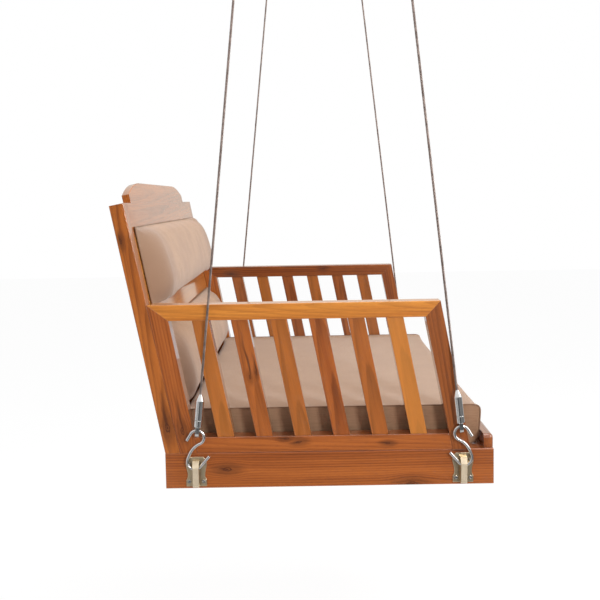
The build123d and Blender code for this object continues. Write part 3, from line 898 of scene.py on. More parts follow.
@dataclass(frozen=True)
class PaintedStrapHighlight:
    """The outer face of a bracket's strap, painted paler and less metallic: a painted highlight that stands
    in for its bright reflection.
    """

    colour: Colour
    cover: float = 0.7
    dulled: float = 0.2
    highlight_matt: float = 0.6
    forward: float = 0.268
    out: float = 0.626
    out_soft: float = 0.003
    flat_half: float = 0.0050
    strap_half: float = 0.0066

    def share(self, pen: Pen, place: Socket) -> Socket:
        """How much painted highlight a point of a bracket takes.

        Args:
            pen: A pen on the material.
            place: The point.

        Returns:
            The share.
        """
        x, y, _ = pen.parts(place)
        beside = pen.unsigned(pen.minus(pen.unsigned(y), self.forward))
        streaks = pen.span(pen.noise(place, (40.0, 900.0, 25.0), 2.0, 0.5), 0.35, 0.65, 0.6, 1.0)
        out = pen.span(pen.unsigned(x), self.out - self.out_soft, self.out)
        flat = pen.span(beside, self.flat_half, self.strap_half, 1.0, 0.3)
        return pen.times(pen.times(out, flat), streaks)


@dataclass(frozen=True)
class MetalFinish:
    """A metal's colour, polish and wear, with painted shade in its crevices and an optional painted highlight
    on a strap.
    """

    name: str
    clean: Colour
    tarnish: Colour
    tarnish_share: float
    roughness: float
    anisotropy: float = 0.0
    stretch: Point = (2200.0, 2200.0, 90.0)
    bump: float = 0.08
    # Painted highlight on the outer face of a bracket's strap.
    strap_highlight: PaintedStrapHighlight | None = None
    bump_depth: float = 0.0002
    edge_width: float = 0.0008
    # Painted shade with tarnish: how far crevices darken towards the tarnish colour.
    crevice_shade_share: float = 0.5

    def material(self, effects: Effects) -> Material:
        """Builds the finish.

        Args:
            effects: The effect groups.

        Returns:
            The material.
        """
        material, pen, shader, place = new_material(self.name)
        metal = pen.group(
            effects.metal,
            Vector=place,
            Clean=self.clean,
            Tarnish=self.tarnish,
            Tarnish_Share=self.tarnish_share,
            Roughness=self.roughness,
            Scratch_Stretch=self.stretch,
        )
        wear = pen.group(effects.wear, Vector=place, Width=self.edge_width)
        # Painted shade, and tarnish in the hollows: crevices darkened towards the tarnish colour by the
        # ambient-occlusion mask.
        crevice_shade = pen.times(wear.outputs["Crevice Shade"], self.crevice_shade_share)
        colour = pen.blend(crevice_shade, metal.outputs["Colour"], self.tarnish)
        normal = pen.bump(metal.outputs["Height"], self.bump, self.bump_depth, wear.outputs["Normal"])
        roughness, metallic = metal.outputs["Roughness"], 1.0
        # Painted highlight: the strap's outer face is painted paler, rougher and less metallic so that it
        # reads bright.
        if self.strap_highlight is not None:
            share = self.strap_highlight.share(pen, place)
            colour = pen.blend(pen.times(share, self.strap_highlight.cover), colour, self.strap_highlight.colour)
            roughness = pen.times_plus(share, self.strap_highlight.dulled, roughness)
            metallic = pen.minus(1.0, pen.times(share, self.strap_highlight.highlight_matt))
        pen.fit(shader, Base_Color=colour, Metallic=metallic, Roughness=roughness, Normal=normal)
        pen.fit(shader, Anisotropic=self.anisotropy)
        return material


POLISHED_STEEL = MetalFinish("polished_steel", (0.66, 0.65, 0.64), (0.42, 0.40, 0.38), 0.35, 0.13)
SCREW_STEEL = MetalFinish("screw_steel", (0.40, 0.39, 0.38), (0.18, 0.17, 0.16), 0.5, 0.26)
ZINC_STEEL = MetalFinish("zinc_steel", (0.60, 0.60, 0.59), (0.36, 0.35, 0.33), 0.5, 0.28)
ROPE_STEEL = MetalFinish("rope_steel", (0.34, 0.27, 0.24), (0.11, 0.08, 0.07), 0.55, 0.42)
BRASS = MetalFinish(
    "bracket_brass",
    (0.74, 0.60, 0.40),
    (0.28, 0.21, 0.14),
    0.4,
    0.27,
    0.3,
    (1500.0, 60.0, 1500.0),
    0.12,
    # Painted highlight colour for the strap's outer face.
    PaintedStrapHighlight((0.60, 0.50, 0.38)),
)


class Fittings:
    """The brackets, screws, hooks, eyes and sleeves."""

    single: dict[str, MetalFinish] = {
        "bracket_screws": SCREW_STEEL,
        "ceiling_flanges": ZINC_STEEL,
        "ceiling_nuts": ZINC_STEEL,
    }
    corner: dict[str, MetalFinish] = {
        "bracket": BRASS,
        "s_hook": POLISHED_STEEL,
        "eye": POLISHED_STEEL,
        "sleeve": POLISHED_STEEL,
        "top_terminal": POLISHED_STEEL,
        "ceiling_hook": ZINC_STEEL,
    }

    def __init__(self, effects: Effects) -> None:
        """Takes the shared effects."""
        self.effects = effects
        self.made: dict[str, Material] = {}

    def finish(self, metal: MetalFinish) -> Material:
        """A finish's material, built the first time it is asked for."""
        if metal.name not in self.made:
            self.made[metal.name] = metal.material(self.effects)
        return self.made[metal.name]

    def dress(self) -> None:
        """Gives every fitting its finish."""
        for node, metal in self.single.items():
            assign(node, self.finish(metal))
        for side, end in itertools.product(Side, End):
            for name, metal in self.corner.items():
                assign(f"{name}_{corner_name(side, end)}", self.finish(metal))
        log.info("fittings: %d finishes", len(self.made))


# --- Meshes -------------------------------------------------------------------------------------


def new_piece(name: str, mesh: Mesh) -> Piece:
    """An object in the scene for a mesh that is already in place."""
    piece = bpy.data.objects.new(name, mesh)
    bpy.context.scene.collection.objects.link(piece)
    return piece


def finished(shape: bmesh.types.BMesh, name: str) -> Mesh:
    """Turns a shape into a mesh and lets go of it.

    Args:
        shape: The shape.
        name: The mesh's name.

    Returns:
        The mesh.
    """
    mesh = bpy.data.meshes.new(name)
    shape.to_mesh(mesh)
    shape.free()
    return mesh


def clamp(value: float, low: float, high: float) -> float:
    """A value kept between two limits."""
    return min(max(value, low), high)


def evaluated(piece: Piece) -> Mesh:
    """A new mesh with a piece's modifiers or bevel applied.

    Args:
        piece: A mesh or curve object.

    Returns:
        The mesh, named after the piece.
    """
    bpy.context.view_layer.update()
    shown = piece.evaluated_get(bpy.context.evaluated_depsgraph_get())
    mesh = bpy.data.meshes.new_from_object(shown)
    mesh.name = piece.name
    return mesh


def bake_modifiers(piece: Piece) -> None:
    """Applies every modifier of a piece to its mesh."""
    mesh = evaluated(piece)
    piece.modifiers.clear()
    piece.data = mesh


def smooth(mesh: Mesh) -> None:
    """Shades a mesh smooth all over."""
    mesh.polygons.foreach_set("use_smooth", [True] * len(mesh.polygons))


def add_line(curve: bpy.types.Curve, kind: str, points: Sequence[Vector]) -> bpy.types.Spline:
    """Adds a spline to a curve.

    Args:
        curve: The curve.
        kind: The spline's kind.
        points: Its points.

    Returns:
        The spline.
    """
    spline = curve.splines.new(kind)
    spline.points.add(len(points) - 1)
    for knot, point in zip(spline.points, points):
        knot.co = (*point, 1.0)
    return spline


def curve_mesh(name: str, curve: bpy.types.Curve) -> Mesh:
    """The mesh of a curve.

    Args:
        name: The name of the piece that holds the curve for the moment.
        curve: The curve.

    Returns:
        The mesh.
    """
    holder = new_piece(name, curve)
    mesh = evaluated(holder)
    bpy.data.objects.remove(holder)
    return mesh


def tubes(name: str, lines: Iterable[Sequence[Vector]], radius: float, closed: bool) -> Mesh:
    """Round tubes along lines of points.

    Args:
        name: The mesh's name.
        lines: The places that each tube runs through.
        radius: Their radius.
        closed: Whether each joins up with itself.

    Returns:
        The tubes' mesh.
    """
    curve = bpy.data.curves.new(name, "CURVE")
    curve.dimensions = "3D"
    curve.bevel_depth = radius
    curve.bevel_resolution = 2
    curve.use_fill_caps = not closed
    for places in lines:
        add_line(curve, "POLY", places).use_cyclic_u = closed
    mesh = curve_mesh(name + "_path", curve)
    mesh.name = name
    smooth(mesh)
    return mesh


def tube(name: str, points: Sequence[Vector], radius: float, closed: bool) -> Mesh:
    """One round tube along points."""
    return tubes(name, [points], radius, closed)


def walk(points: Sequence[Vector], step: float, closed: bool) -> list[Vector]:
    """Points at an even step along a broken line.

    Args:
        points: The line's corners.
        step: The distance between two points.
        closed: Whether the line returns to its start.

    Returns:
        The points.
    """
    corners = list(points) + ([points[0]] if closed else [])
    found: list[Vector] = []
    left = 0.0
    for start, finish in zip(corners, corners[1:]):
        run = (finish - start).length
        at = left
        while at < run:
            found.append(start.lerp(finish, at / run))
            at += step
        left = at - run
    return found


# --- Cushions -----------------------------------------------------------------------------------


@dataclass(frozen=True)
class ClothFinish:
    """A cover cloth."""

    name: str
    light: Colour
    shade: Colour
    pitch: float
    slubs: float
    nap: float
    sheen: float
    bump: float
    # Painted shade: a darker colour towards both ends of the piece, with where it starts, where it is full,
    # and how much.
    end_shade: Colour | None = None
    end_shade_start: float = 0.34
    end_shade_full: float = 0.56
    end_shade_share: float = 0.9
    bump_depth: float = 0.0005
    roughness: float = 0.92
    gloss: float = 0.25
    sheen_roughness: float = 0.45

    def material(self, effects: Effects) -> Material:
        """Builds the cloth.

        Args:
            effects: The effect groups.

        Returns:
            The material.
        """
        material, pen, shader, place = new_material(self.name)
        weave = pen.group(
            effects.weave,
            Vector=place,
            Pitch=self.pitch,
            Slubs=self.slubs,
            Nap=self.nap,
            Light=self.light,
            Shade=self.shade,
        )
        normal = pen.bump(weave.outputs["Height"], self.bump, self.bump_depth)
        colour = weave.outputs["Colour"]
        # Painted shade: the cloth darkens towards both ends of the piece.
        if self.end_shade is not None:
            x, _, _ = pen.parts(place)
            ends = pen.span(pen.unsigned(x), self.end_shade_start, self.end_shade_full, 0.0, self.end_shade_share)
            colour = pen.blend(ends, colour, self.end_shade)
        pen.fit(shader, Base_Color=colour, Normal=normal, Roughness=self.roughness)
        pen.fit(shader, Specular_IOR_Level=self.gloss)
        pen.fit(shader, Sheen_Weight=self.sheen, Sheen_Roughness=self.sheen_roughness)
        return material


LINEN = ClothFinish(
    "seat_linen", (0.385, 0.232, 0.140), (0.300, 0.176, 0.104), 0.0013, 0.55, 0.25, 0.35, 0.4
)
SUEDE = ClothFinish(
    "bolster_suede",
    (0.410, 0.245, 0.145),
    (0.310, 0.180, 0.104),
    0.0009,
    0.15,
    0.6,
    0.35,
    0.2,
    # Painted shade at the bolsters' ends.
    end_shade=(0.245, 0.145, 0.092),
)
PIPING = ClothFinish(
    "piping_cloth", (0.250, 0.145, 0.088), (0.180, 0.102, 0.062), 0.0011, 0.2, 0.3, 0.15, 0.3
)
STRIP = ClothFinish(
    "hook_and_loop", (0.045, 0.040, 0.036), (0.020, 0.018, 0.016), 0.0016, 0.3, 0.3, 0.2, 0.9
)


@dataclass(frozen=True)
class Cloth:
    """How a cover is blown up over its foam."""

    swell: float
    pressure: float
    slack: float
    frames: int = 20
    quality: int = 5
    mass: float = 0.3
    stiffness: float = 15.0
    bending: float = 0.4
    quick_share: float = 0.8


@dataclass
class PaddedPiece:
    """A foam shape in a sewn cover. Its places run from 0 to 1 across, forwards and up."""

    node: str
    name: str
    cloth: Cloth
    finish: Material
    piping: Material
    fill: float
    counts: tuple[int, int, int]

    def place(self, across: float, ahead: float, up: float) -> Vector:
        """Where a point of the cover lies.

        Args:
            across: 0 at the sitter's right end, 1 at the left.
            ahead: 0 at the back, 1 in front.
            up: 0 underneath, 1 on top.

        Returns:
            The point, in metres.
        """
        raise NotImplementedError

    def held(self, across: float, ahead: float, up: float) -> bool:
        """Whether a point is sewn down, so that the cover's pressure doesn't move it."""
        raise NotImplementedError

    def seams(self) -> list[list[Vector]]:
        """Closed lines along which the panels are sewn together."""
        raise NotImplementedError

    def rest(self, point: Vector) -> Vector:
        """Keeps a point of the blown cover off the piece's neighbours."""
        raise NotImplementedError

    def build(self) -> Piece:
        """Models the piece, swells it, sews its edges and hides the node that it stands for.

        Returns:
            The finished piece.
        """
        piece = self.shell()
        start = [vertex.co.copy() for vertex in piece.data.vertices]
        self.blow_up(piece, start)
        for vertex in piece.data.vertices:
            vertex.co = self.rest(vertex.co)
        piece.vertex_groups.clear()
        fine = piece.modifiers.new("fine", "SUBSURF")
        fine.levels = fine.render_levels = 1
        bake_modifiers(piece)
        smooth(piece.data)
        piece.data.materials.clear()
        piece.data.materials.append(self.finish)
        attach(piece, "bench")
        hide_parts(self.node)
        for number, line in enumerate(self.seams()):
            SewnEdge(piece, f"{self.node}_seam_{number}", line, self.piping).build()
        log.info("cushion: %s, %d faces", self.name, len(piece.data.polygons))
        return piece

    def shell(self) -> Piece:
        """The cover before it swells: six panels that share their edges.

        Returns:
            The cover.
        """
        shape = bmesh.new()
        quarter = math.pi / 2
        turns = (Matrix.Rotation(quarter, 4, "Y"), Matrix.Rotation(quarter, 4, "X"), Matrix.Identity(4))
        spans = ((2, 1), (0, 2), (0, 1))
        for axis, (turn, span) in enumerate(zip(turns, spans)):
            for side in (-0.5, 0.5):
                shift = Vector((0, 0, 0))
                shift[axis] = side
                bmesh.ops.create_grid(
                    shape,
                    x_segments=self.counts[span[0]],
                    y_segments=self.counts[span[1]],
                    size=0.5,
                    matrix=Matrix.Translation(shift) @ turn,
                )
        bmesh.ops.remove_doubles(shape, verts=shape.verts, dist=WELD_WITHIN)
        bmesh.ops.recalc_face_normals(shape, faces=shape.faces)
        crease = shape.edges.layers.float.get("crease_edge") or shape.edges.layers.float.new("crease_edge")
        weights = shape.verts.layers.deform.verify()
        sewn = {vertex: self.held(*(vertex.co + Vector((0.5, 0.5, 0.5)))) for vertex in shape.verts}
        for edge in shape.edges:
            corner = edge.calc_face_angle(0.0) > 1.0
            if corner and all(sewn[vertex] for vertex in edge.verts):
                edge[crease] = SEAM_CREASE
        for vertex in shape.verts:
            if sewn[vertex]:
                vertex[weights][0] = 1.0
            vertex.co = self.place(*(vertex.co + Vector((0.5, 0.5, 0.5))))
        piece = new_piece(self.name, finished(shape, self.name))
        piece.vertex_groups.new(name="sewn")
        return piece

    def blow_up(self, piece: Piece, start: list[Vector]) -> None:
        """Runs the cover as pressed cloth, then caps how far it moved.

        Args:
            piece: The piece.
            start: Where its points were.
        """
        scene = bpy.context.scene
        modifier = piece.modifiers.new("cover", "CLOTH")
        settings = modifier.settings
        settings.quality = self.cloth.quality
        settings.mass = self.cloth.mass
        settings.tension_stiffness = settings.compression_stiffness = self.cloth.stiffness
        settings.bending_stiffness = self.cloth.bending
        settings.shrink_min = -self.cloth.slack
        settings.use_pressure = True
        settings.uniform_pressure_force = self.cloth.pressure
        settings.vertex_group_mass = "sewn"
        settings.effector_weights.gravity = 0.0
        modifier.collision_settings.use_collision = False
        modifier.point_cache.frame_start = 1
        modifier.point_cache.frame_end = self.cloth.frames
        for number in range(1, self.cloth.frames + 1):
            scene.frame_set(number)
        blown = evaluated(piece)
        places = [vertex.co.copy() for vertex in blown.vertices]
        bpy.data.meshes.remove(blown)
        piece.modifiers.clear()
        scene.frame_set(1)
        for vertex, place, origin in zip(piece.data.vertices, places, start):
            moved = place - origin
            if moved.length > self.cloth.swell:
                moved.length = self.cloth.swell
            vertex.co = origin + moved
        piece.data.update()

    @staticmethod
    def ring(corners: Sequence[Pair], steps: int = 60) -> list[Pair]:
        """Evenly spaced pairs round a closed line of corners."""
        found: list[Pair] = []
        for start, finish in zip(corners, [*corners[1:], corners[0]]):
            for step in range(steps):
                share = step / steps
                found.append(tuple(a + (b - a) * share for a, b in zip(start, finish)))
        return found


@dataclass
class SeatPad(PaddedPiece):
    """The boxed seat cushion: a panel wrapped round it from the back to the front, and two ends."""

    end_inset: float = 0.003
    front_lean: float = 0.006
    overhang: float = 0.003
    lip_up: float = 0.030
    front_top_round: Pair = (0.011, 0.011)
    front_foot_round: Pair = (0.014, 0.028)
    rear_round: Pair = (0.014, 0.014)
    crown_from: float = 0.09
    crown_run: float = 0.08

    def __post_init__(self) -> None:
        """Reads the plain solid's box."""
        self.low, self.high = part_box(self.node)

    def place(self, across: float, ahead: float, up: float) -> Vector:
        """Where a point of the cover lies.

        Args:
            across: 0 at the sitter's right end, 1 at the left.
            ahead: 0 at the back, 1 in front.
            up: 0 underneath, 1 on top.

        Returns:
            The point, in metres.
        """
        half_y = (self.high.y - self.low.y + self.overhang) / 2
        half_z = (self.high.z - self.low.z) / 2
        a, b = (ahead - 0.5) * 2 * half_y, (up - 0.5) * 2 * half_z
        round_off = self.rear_round
        if ahead > 0.5:
            round_off = self.front_top_round if up > 0.5 else self.front_foot_round
        a, b = rounded(a, b, (half_y, half_z), round_off)
        share = (b + half_z) / (2 * half_z)
        a -= max(0.0, a / half_y) ** 8 * self.front_lean * (1 - share)
        x = (self.low.x + self.end_inset) * (1 - across) + (self.high.x - self.end_inset) * across
        middle = (self.high.y + self.low.y - self.overhang) / 2
        return Vector((x, middle - a, self.low.z + half_z + b))

    def held(self, across: float, ahead: float, up: float) -> bool:
        """The two end seams are sewn down."""
        rim = min(ahead, 1 - ahead) < SEWN_WITHIN or min(up, 1 - up) < SEWN_WITHIN
        return min(across, 1 - across) < SEWN_WITHIN and rim

    def seams(self) -> list[list[Vector]]:
        """The seam round each end."""
        rim = self.ring(((0, 0), (1, 0), (1, 1), (0, 1)))
        return [[self.place(end, ahead, up) for ahead, up in rim] for end in (0.0, 1.0)]

    def rest(self, point: Vector) -> Vector:
        """Flat underneath and behind, off the lip in front, and crowned on top away from the back.

        Args:
            point: A point of the blown cover.

        Returns:
            Where it comes to rest.
        """
        free = clamp((self.high.y - point.y - self.crown_from) / self.crown_run, 0.0, 1.0)
        front = self.low.y - (self.overhang if point.z > self.low.z + self.lip_up else 0.0)
        return Vector((
            clamp(point.x, self.low.x, self.high.x),
            clamp(point.y, front, self.high.y),
            clamp(point.z, self.low.z, self.high.z + self.cloth.swell * free),
        ))


def rounded(
    a: float, b: float, half: Pair, round_off: Pair
) -> Pair:
    """Carries a point of a rectangle to one with rounded corners.

    Args:
        a: Its place along the first side, from the middle.
        b: Its place along the second side.
        half: Half the length of each side.
        round_off: How far the rounding reaches along each side.

    Returns:
        The point's new place.
    """
    inner = (
        clamp(a, round_off[0] - half[0], half[0] - round_off[0]),
        clamp(b, round_off[1] - half[1], half[1] - round_off[1]),
    )
    way = Vector(((a - inner[0]) / round_off[0], (b - inner[1]) / round_off[1]))
    reach = max(abs(way.x), abs(way.y))
    if min(abs(way.x), abs(way.y)) < 1e-9:
        return a, b
    way = way.normalized() * reach
    return inner[0] + way.x * round_off[0], inner[1] + way.y * round_off[1]


@dataclass
class Bolster(PaddedPiece):
    """A back bolster: a flat rear panel, and a full face whose ends are drawn back to it."""

    end_round: float = 0.085
    end_share: float = 0.10
    end_power: float = 0.8
    foot_share: float = 0.22
    head_share: float = 0.78

    def __post_init__(self) -> None:
        """Reads the plain solid's end outline, in axes that lean with the back."""
        self.turn = Matrix.Rotation(math.radians(LEAN_ANGLE), 3, "X")
        self.back = self.turn.inverted()
        local = [self.turn @ vertex.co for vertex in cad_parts[self.node].data.vertices]
        self.low = Vector([min(point[axis] for point in local) for axis in range(3)])
        self.high = Vector([max(point[axis] for point in local) for axis in range(3)])
        end = [point for point in local if point.x < self.low.x + WELD_WITHIN]
        face = {(self.high.y - point.y, point.z) for point in end}
        rear = [spot[1] for spot in face if spot[0] <= WELD_WITHIN]
        self.foot, self.head = min(rear), max(rear)
        middle = (self.foot + self.head) / 2
        full = sorted(
            (spot for spot in face if spot[0] > WELD_WITHIN),
            key=lambda spot: math.atan2(spot[1] - middle, spot[0]),
        )
        line = [(0.0, self.foot), *full, (0.0, self.head)]
        self.depth = max(spot[0] for spot in line)
        self.line = line
        lengths = [0.0]
        for first, second in zip(line, line[1:]):
            lengths.append(lengths[-1] + math.dist(first, second))
        self.lengths = lengths

    def face(self, share: float) -> Pair:
        """A point of the bulging face.

        Args:
            share: How far up the face it lies, from 0 to 1.

        Returns:
            Its depth and height.
        """
        want = clamp(share, 0.0, 1.0) * self.lengths[-1]
        for number in range(1, len(self.lengths)):
            if self.lengths[number] >= want - 1e-12:
                break
        run = self.lengths[number] - self.lengths[number - 1]
        along = (want - self.lengths[number - 1]) / run if run else 0.0
        first, second = self.line[number - 1], self.line[number]
        return first[0] + (second[0] - first[0]) * along, first[1] + (second[1] - first[1]) * along

    def section(self, ahead: float, up: float) -> Pair:
        """A point of the end outline, or inside it.

        Args:
            ahead: 0 at the back, 1 in front.
            up: 0 underneath, 1 on top.

        Returns:
            Its depth and height.
        """
        foot, head = self.foot_share, self.head_share
        bottom, top = self.face(foot * ahead), self.face(1 - (1 - head) * ahead)
        rear = (0.0, self.foot + (self.head - self.foot) * up)
        front = self.face(foot + (head - foot) * up)
        corners = ((0.0, self.foot), self.face(foot), (0.0, self.head), self.face(head))
        found = []
        for axis in range(2):
            sides = (1 - up) * bottom[axis] + up * top[axis] + (1 - ahead) * rear[axis] + ahead * front[axis]
            low = (1 - ahead) * corners[0][axis] + ahead * corners[1][axis]
            high = (1 - ahead) * corners[2][axis] + ahead * corners[3][axis]
            found.append(sides - (1 - up) * low - up * high)
        return found[0], found[1]

    def place(self, across: float, ahead: float, up: float) -> Vector:
        """Where a point of the cover lies.

        Args:
            across: 0 at the sitter's right end, 1 at the left.
            ahead: 0 at the back, 1 in front.
            up: 0 underneath, 1 on top.

        Returns:
            The point, in metres.
        """
        depth, height = self.section(ahead, up)
        run = self.high.x - self.low.x
        near = clamp(min(across, 1 - across) * run / self.end_round, 0.0, 1.0)
        keep = self.end_share + (1 - self.end_share) * math.sin(near * math.pi / 2) ** self.end_power
        depth *= keep * (1 - self.cloth.swell / self.depth)
        x = self.low.x + run * across
        return self.back @ Vector((x, self.high.y - depth, height))

    def held(self, across: float, ahead: float, up: float) -> bool:
        """The rear panel is held flat."""
        return ahead < SEWN_WITHIN

    def seams(self) -> list[list[Vector]]:
        """The seam round the rear panel."""
        rim = self.ring(((0, 0), (1, 0), (1, 1), (0, 1)), 120)
        return [[self.place(across, 0.0, up) for across, up in rim]]

    def rest(self, point: Vector) -> Vector:
        """Inside the plain solid's box, in the leaning axes."""
        own = self.turn @ point
        return self.back @ Vector([clamp(own[axis], self.low[axis], self.high[axis]) for axis in range(3)])


@dataclass
class SewnEdge:
    """A cord sewn along a seam, and the stitches beside it."""

    piece: Piece
    name: str
    line: list[Vector]
    cloth: Material
    radius: float = 0.0015
    cord_step: float = 0.005
    stitch_gap: float = 0.0075
    stitch_beside: float = 0.005
    stitch_lift: float = 0.0001
    stitch_radius: float = 0.0011
    stitch_shape: Point = (0.5, 0.5, 1.9)

    def build(self) -> None:
        """Lays the cord on the cover and a row of stitches next to it."""
        tree = BVHTree.FromObject(self.piece, bpy.context.evaluated_depsgraph_get())
        laid = [tree.find_nearest(point)[0] for point in walk(self.line, self.cord_step, True)]
        laid = self.relaxed(laid)
        self.add(self.name, tube(self.name, laid, self.radius, True))
        vertices = self.piece.data.vertices
        middle = sum((vertex.co for vertex in vertices), Vector()) / len(vertices)
        stretch = Matrix.Diagonal((*self.stitch_shape, 1.0))
        shape = bmesh.new()
        places = walk(laid, self.stitch_gap, True)
        for number, place in enumerate(places):
            ahead = (places[(number + 1) % len(places)] - place).normalized()
            inwards = middle - place
            inwards.x = math.copysign(min(abs(inwards.x), self.stitch_beside), inwards.x)
            inwards.y = inwards.z = 0.0
            found, normal, _, _ = tree.find_nearest(place + inwards)
            turn = ahead.to_track_quat("Z", "Y").to_matrix().to_4x4()
            bmesh.ops.create_uvsphere(
                shape,
                u_segments=6,
                v_segments=4,
                radius=self.stitch_radius,
                matrix=Matrix.Translation(found + normal * self.stitch_lift) @ turn @ stretch,
            )
        mesh = finished(shape, self.name + "_stitches")
        smooth(mesh)
        self.add(self.name + "_stitches", mesh)

    @staticmethod
    def relaxed(points: list[Vector]) -> list[Vector]:
        """A closed line with its small kinks eased."""
        count = len(points)
        return [
            (points[number - 1] + points[number] * 2 + points[(number + 1) % count]) / 4
            for number in range(count)
        ]

    def add(self, name: str, mesh: Mesh) -> None:
        """Adds a sewn piece to the bench."""
        piece = new_piece(name, mesh)
        piece.data.materials.clear()
        piece.data.materials.append(self.cloth)
        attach(piece, "bench")


class Upholstery:
    """The seat cushion and the two bolsters."""

    def __init__(self, effects: Effects) -> None:
        """Builds the cloths."""
        self.linen = LINEN.material(effects)
        self.suede = SUEDE.material(effects)
        self.piping = PIPING.material(effects)
        self.strip = STRIP.material(effects)

    def build(self) -> None:
        """Models every padded piece."""
        assign("bolster_strips", self.strip)
        SeatPad(
            "seat_cushion",
            "seat_cushion_cover",
            Cloth(0.0045, 3.0, 0.012),
            self.linen,
            self.piping,
            0.9,
            (112, 60, 9),
        ).build()
        for node in ("upper_bolster", "lower_bolster"):
            Bolster(
                node,
                node + "_cover",
                Cloth(0.006, 4.0, 0.02),
                self.suede,
                self.piping,
                0.8,
                (130, 6, 16),
            ).build()


# --- Ropes --------------------------------------------------------------------------------------


@dataclass
class WireRope:
    """A twisted steel rope between its two sleeves, on one corner's hanger."""

    side: Side
    end: End
    metal: Material
    diameter: float = 0.005
    length: float = 1.02301
    strands: int = 6
    strand_radius: float = 0.00080
    lay: float = 0.042
    steps_per_turn: int = 20
    core_inset: float = 1.2
    points: tuple[Pair, ...] = (
        (0.254705, -1.151349),
        (0.217757, -0.812389),
        (0.180804, -0.473376),
        (0.143851, -0.134363),
    )

    def route(self) -> list[Vector]:
        """The rope's own points, from its lower sleeve to its upper one."""
        across, rear = self.side.value, self.end.value
        return [Vector((ROPE_ACROSS * across, y * rear, z)) for y, z in self.points]

    def smooth_route(self) -> list[Vector]:
        """Rounds the route as a spline.

        Returns:
            The spline's points.
        """
        curve = bpy.data.curves.new("rope_route", "CURVE")
        curve.dimensions = "3D"
        curve.resolution_u = 24
        spline = add_line(curve, "NURBS", self.route())
        spline.order_u = 3
        spline.use_endpoint_u = True
        mesh = curve_mesh("rope_route", curve)
        found = [vertex.co.copy() for vertex in mesh.vertices]
        bpy.data.meshes.remove(mesh)
        return found

    def build(self) -> Piece:
        """Twists the strands round a core and hangs the rope on its body.

        Returns:
            The finished rope.
        """
        corner = corner_name(self.side, self.end)
        line = self.smooth_route()
        mesh = self.twisted(f"rope_strands_{corner}", line)
        piece = new_piece(f"rope_strands_{corner}", mesh)
        piece.data.materials.append(self.metal)
        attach(piece, f"hanger_{corner}")
        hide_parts(f"rope_{corner}")
        log.info("rope: %s, %d faces", corner, len(mesh.polygons))
        return piece

    def twisted(self, name: str, line: list[Vector]) -> Mesh:
        """Strands laid round a core along a line.

        Args:
            name: The mesh's name.
            line: The rope's own line.

        Returns:
            The mesh of the strands and the core.
        """
        axis = (line[-1] - line[0]).normalized()
        beside = axis.cross(Vector((1, 0, 0))).normalized()
        across = axis.cross(beside)
        places = walk(line, self.lay / self.steps_per_turn, False) + [line[-1]]
        out = self.diameter / 2 - self.strand_radius
        strands: list[list[Vector]] = []
        for number in range(self.strands):
            strand = []
            for place in places:
                angle = 2 * math.pi * ((place - line[0]).length / self.lay + number / self.strands)
                strand.append(place + out * (math.cos(angle) * beside + math.sin(angle) * across))
            strands.append(strand)
        mesh = tubes(name, strands, self.strand_radius, False)
        core_radius = self.diameter / 2 - self.core_inset * self.strand_radius
        core = tube(name + "_core", [line[0], line[-1]], core_radius, False)
        shape = bmesh.new()
        shape.from_mesh(mesh)
        shape.from_mesh(core)
        shape.to_mesh(mesh)
        shape.free()
        bpy.data.meshes.remove(core)
        smooth(mesh)
        return mesh


# --- Ceiling ------------------------------------------------------------------------------------


@dataclass
class StudThread:
    """The thread on the studs above the ceiling."""

    metal: Material
    radius: float = 0.004
    ridge: float = 0.00045
    pitch: float = 0.00125
    low: float = 0.003
    length: float = 0.055
    steps_per_turn: int = 14

    def build(self) -> None:
        """Winds a ridge round each stud."""
        count = round(self.length / self.pitch * self.steps_per_turn)
        lines: list[list[Vector]] = []
        for side, end in itertools.product(Side, End):
            foot = Vector((ROPE_ACROSS * side.value, STUD_FORWARD * end.value, self.low))
            line = []
            for step in range(count + 1):
                turn = 2 * math.pi * step / self.steps_per_turn
                rise = self.length * step / count
                out = Vector((self.radius * math.cos(turn), self.radius * math.sin(turn), rise))
                line.append(foot + out)
            lines.append(line)
        piece = new_piece("stud_threads", tubes("stud_threads", lines, self.ridge, False))
        piece.data.materials.append(self.metal)
        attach(piece, "ceiling")


# --- Studio -------------------------------------------------------------------------------------


@dataclass(frozen=True)
class Lamp:
    """A soft square lamp."""

    name: str
    place: Point
    aim: Point
    size: float
    power: float
    colour: Colour = (1.0, 1.0, 1.0)

    def build(self) -> None:
        """Hangs the lamp."""
        light = bpy.data.lights.new(self.name, "AREA")
        light.size = self.size
        light.energy = self.power
        light.color = self.colour
        lamp = bpy.data.objects.new(self.name, light)
        way = Vector(self.aim) - Vector(self.place)
        lamp.matrix_world = Matrix.Translation(self.place) @ way.to_track_quat("-Z", "Y").to_matrix().to_4x4()
        bpy.context.scene.collection.objects.link(lamp)


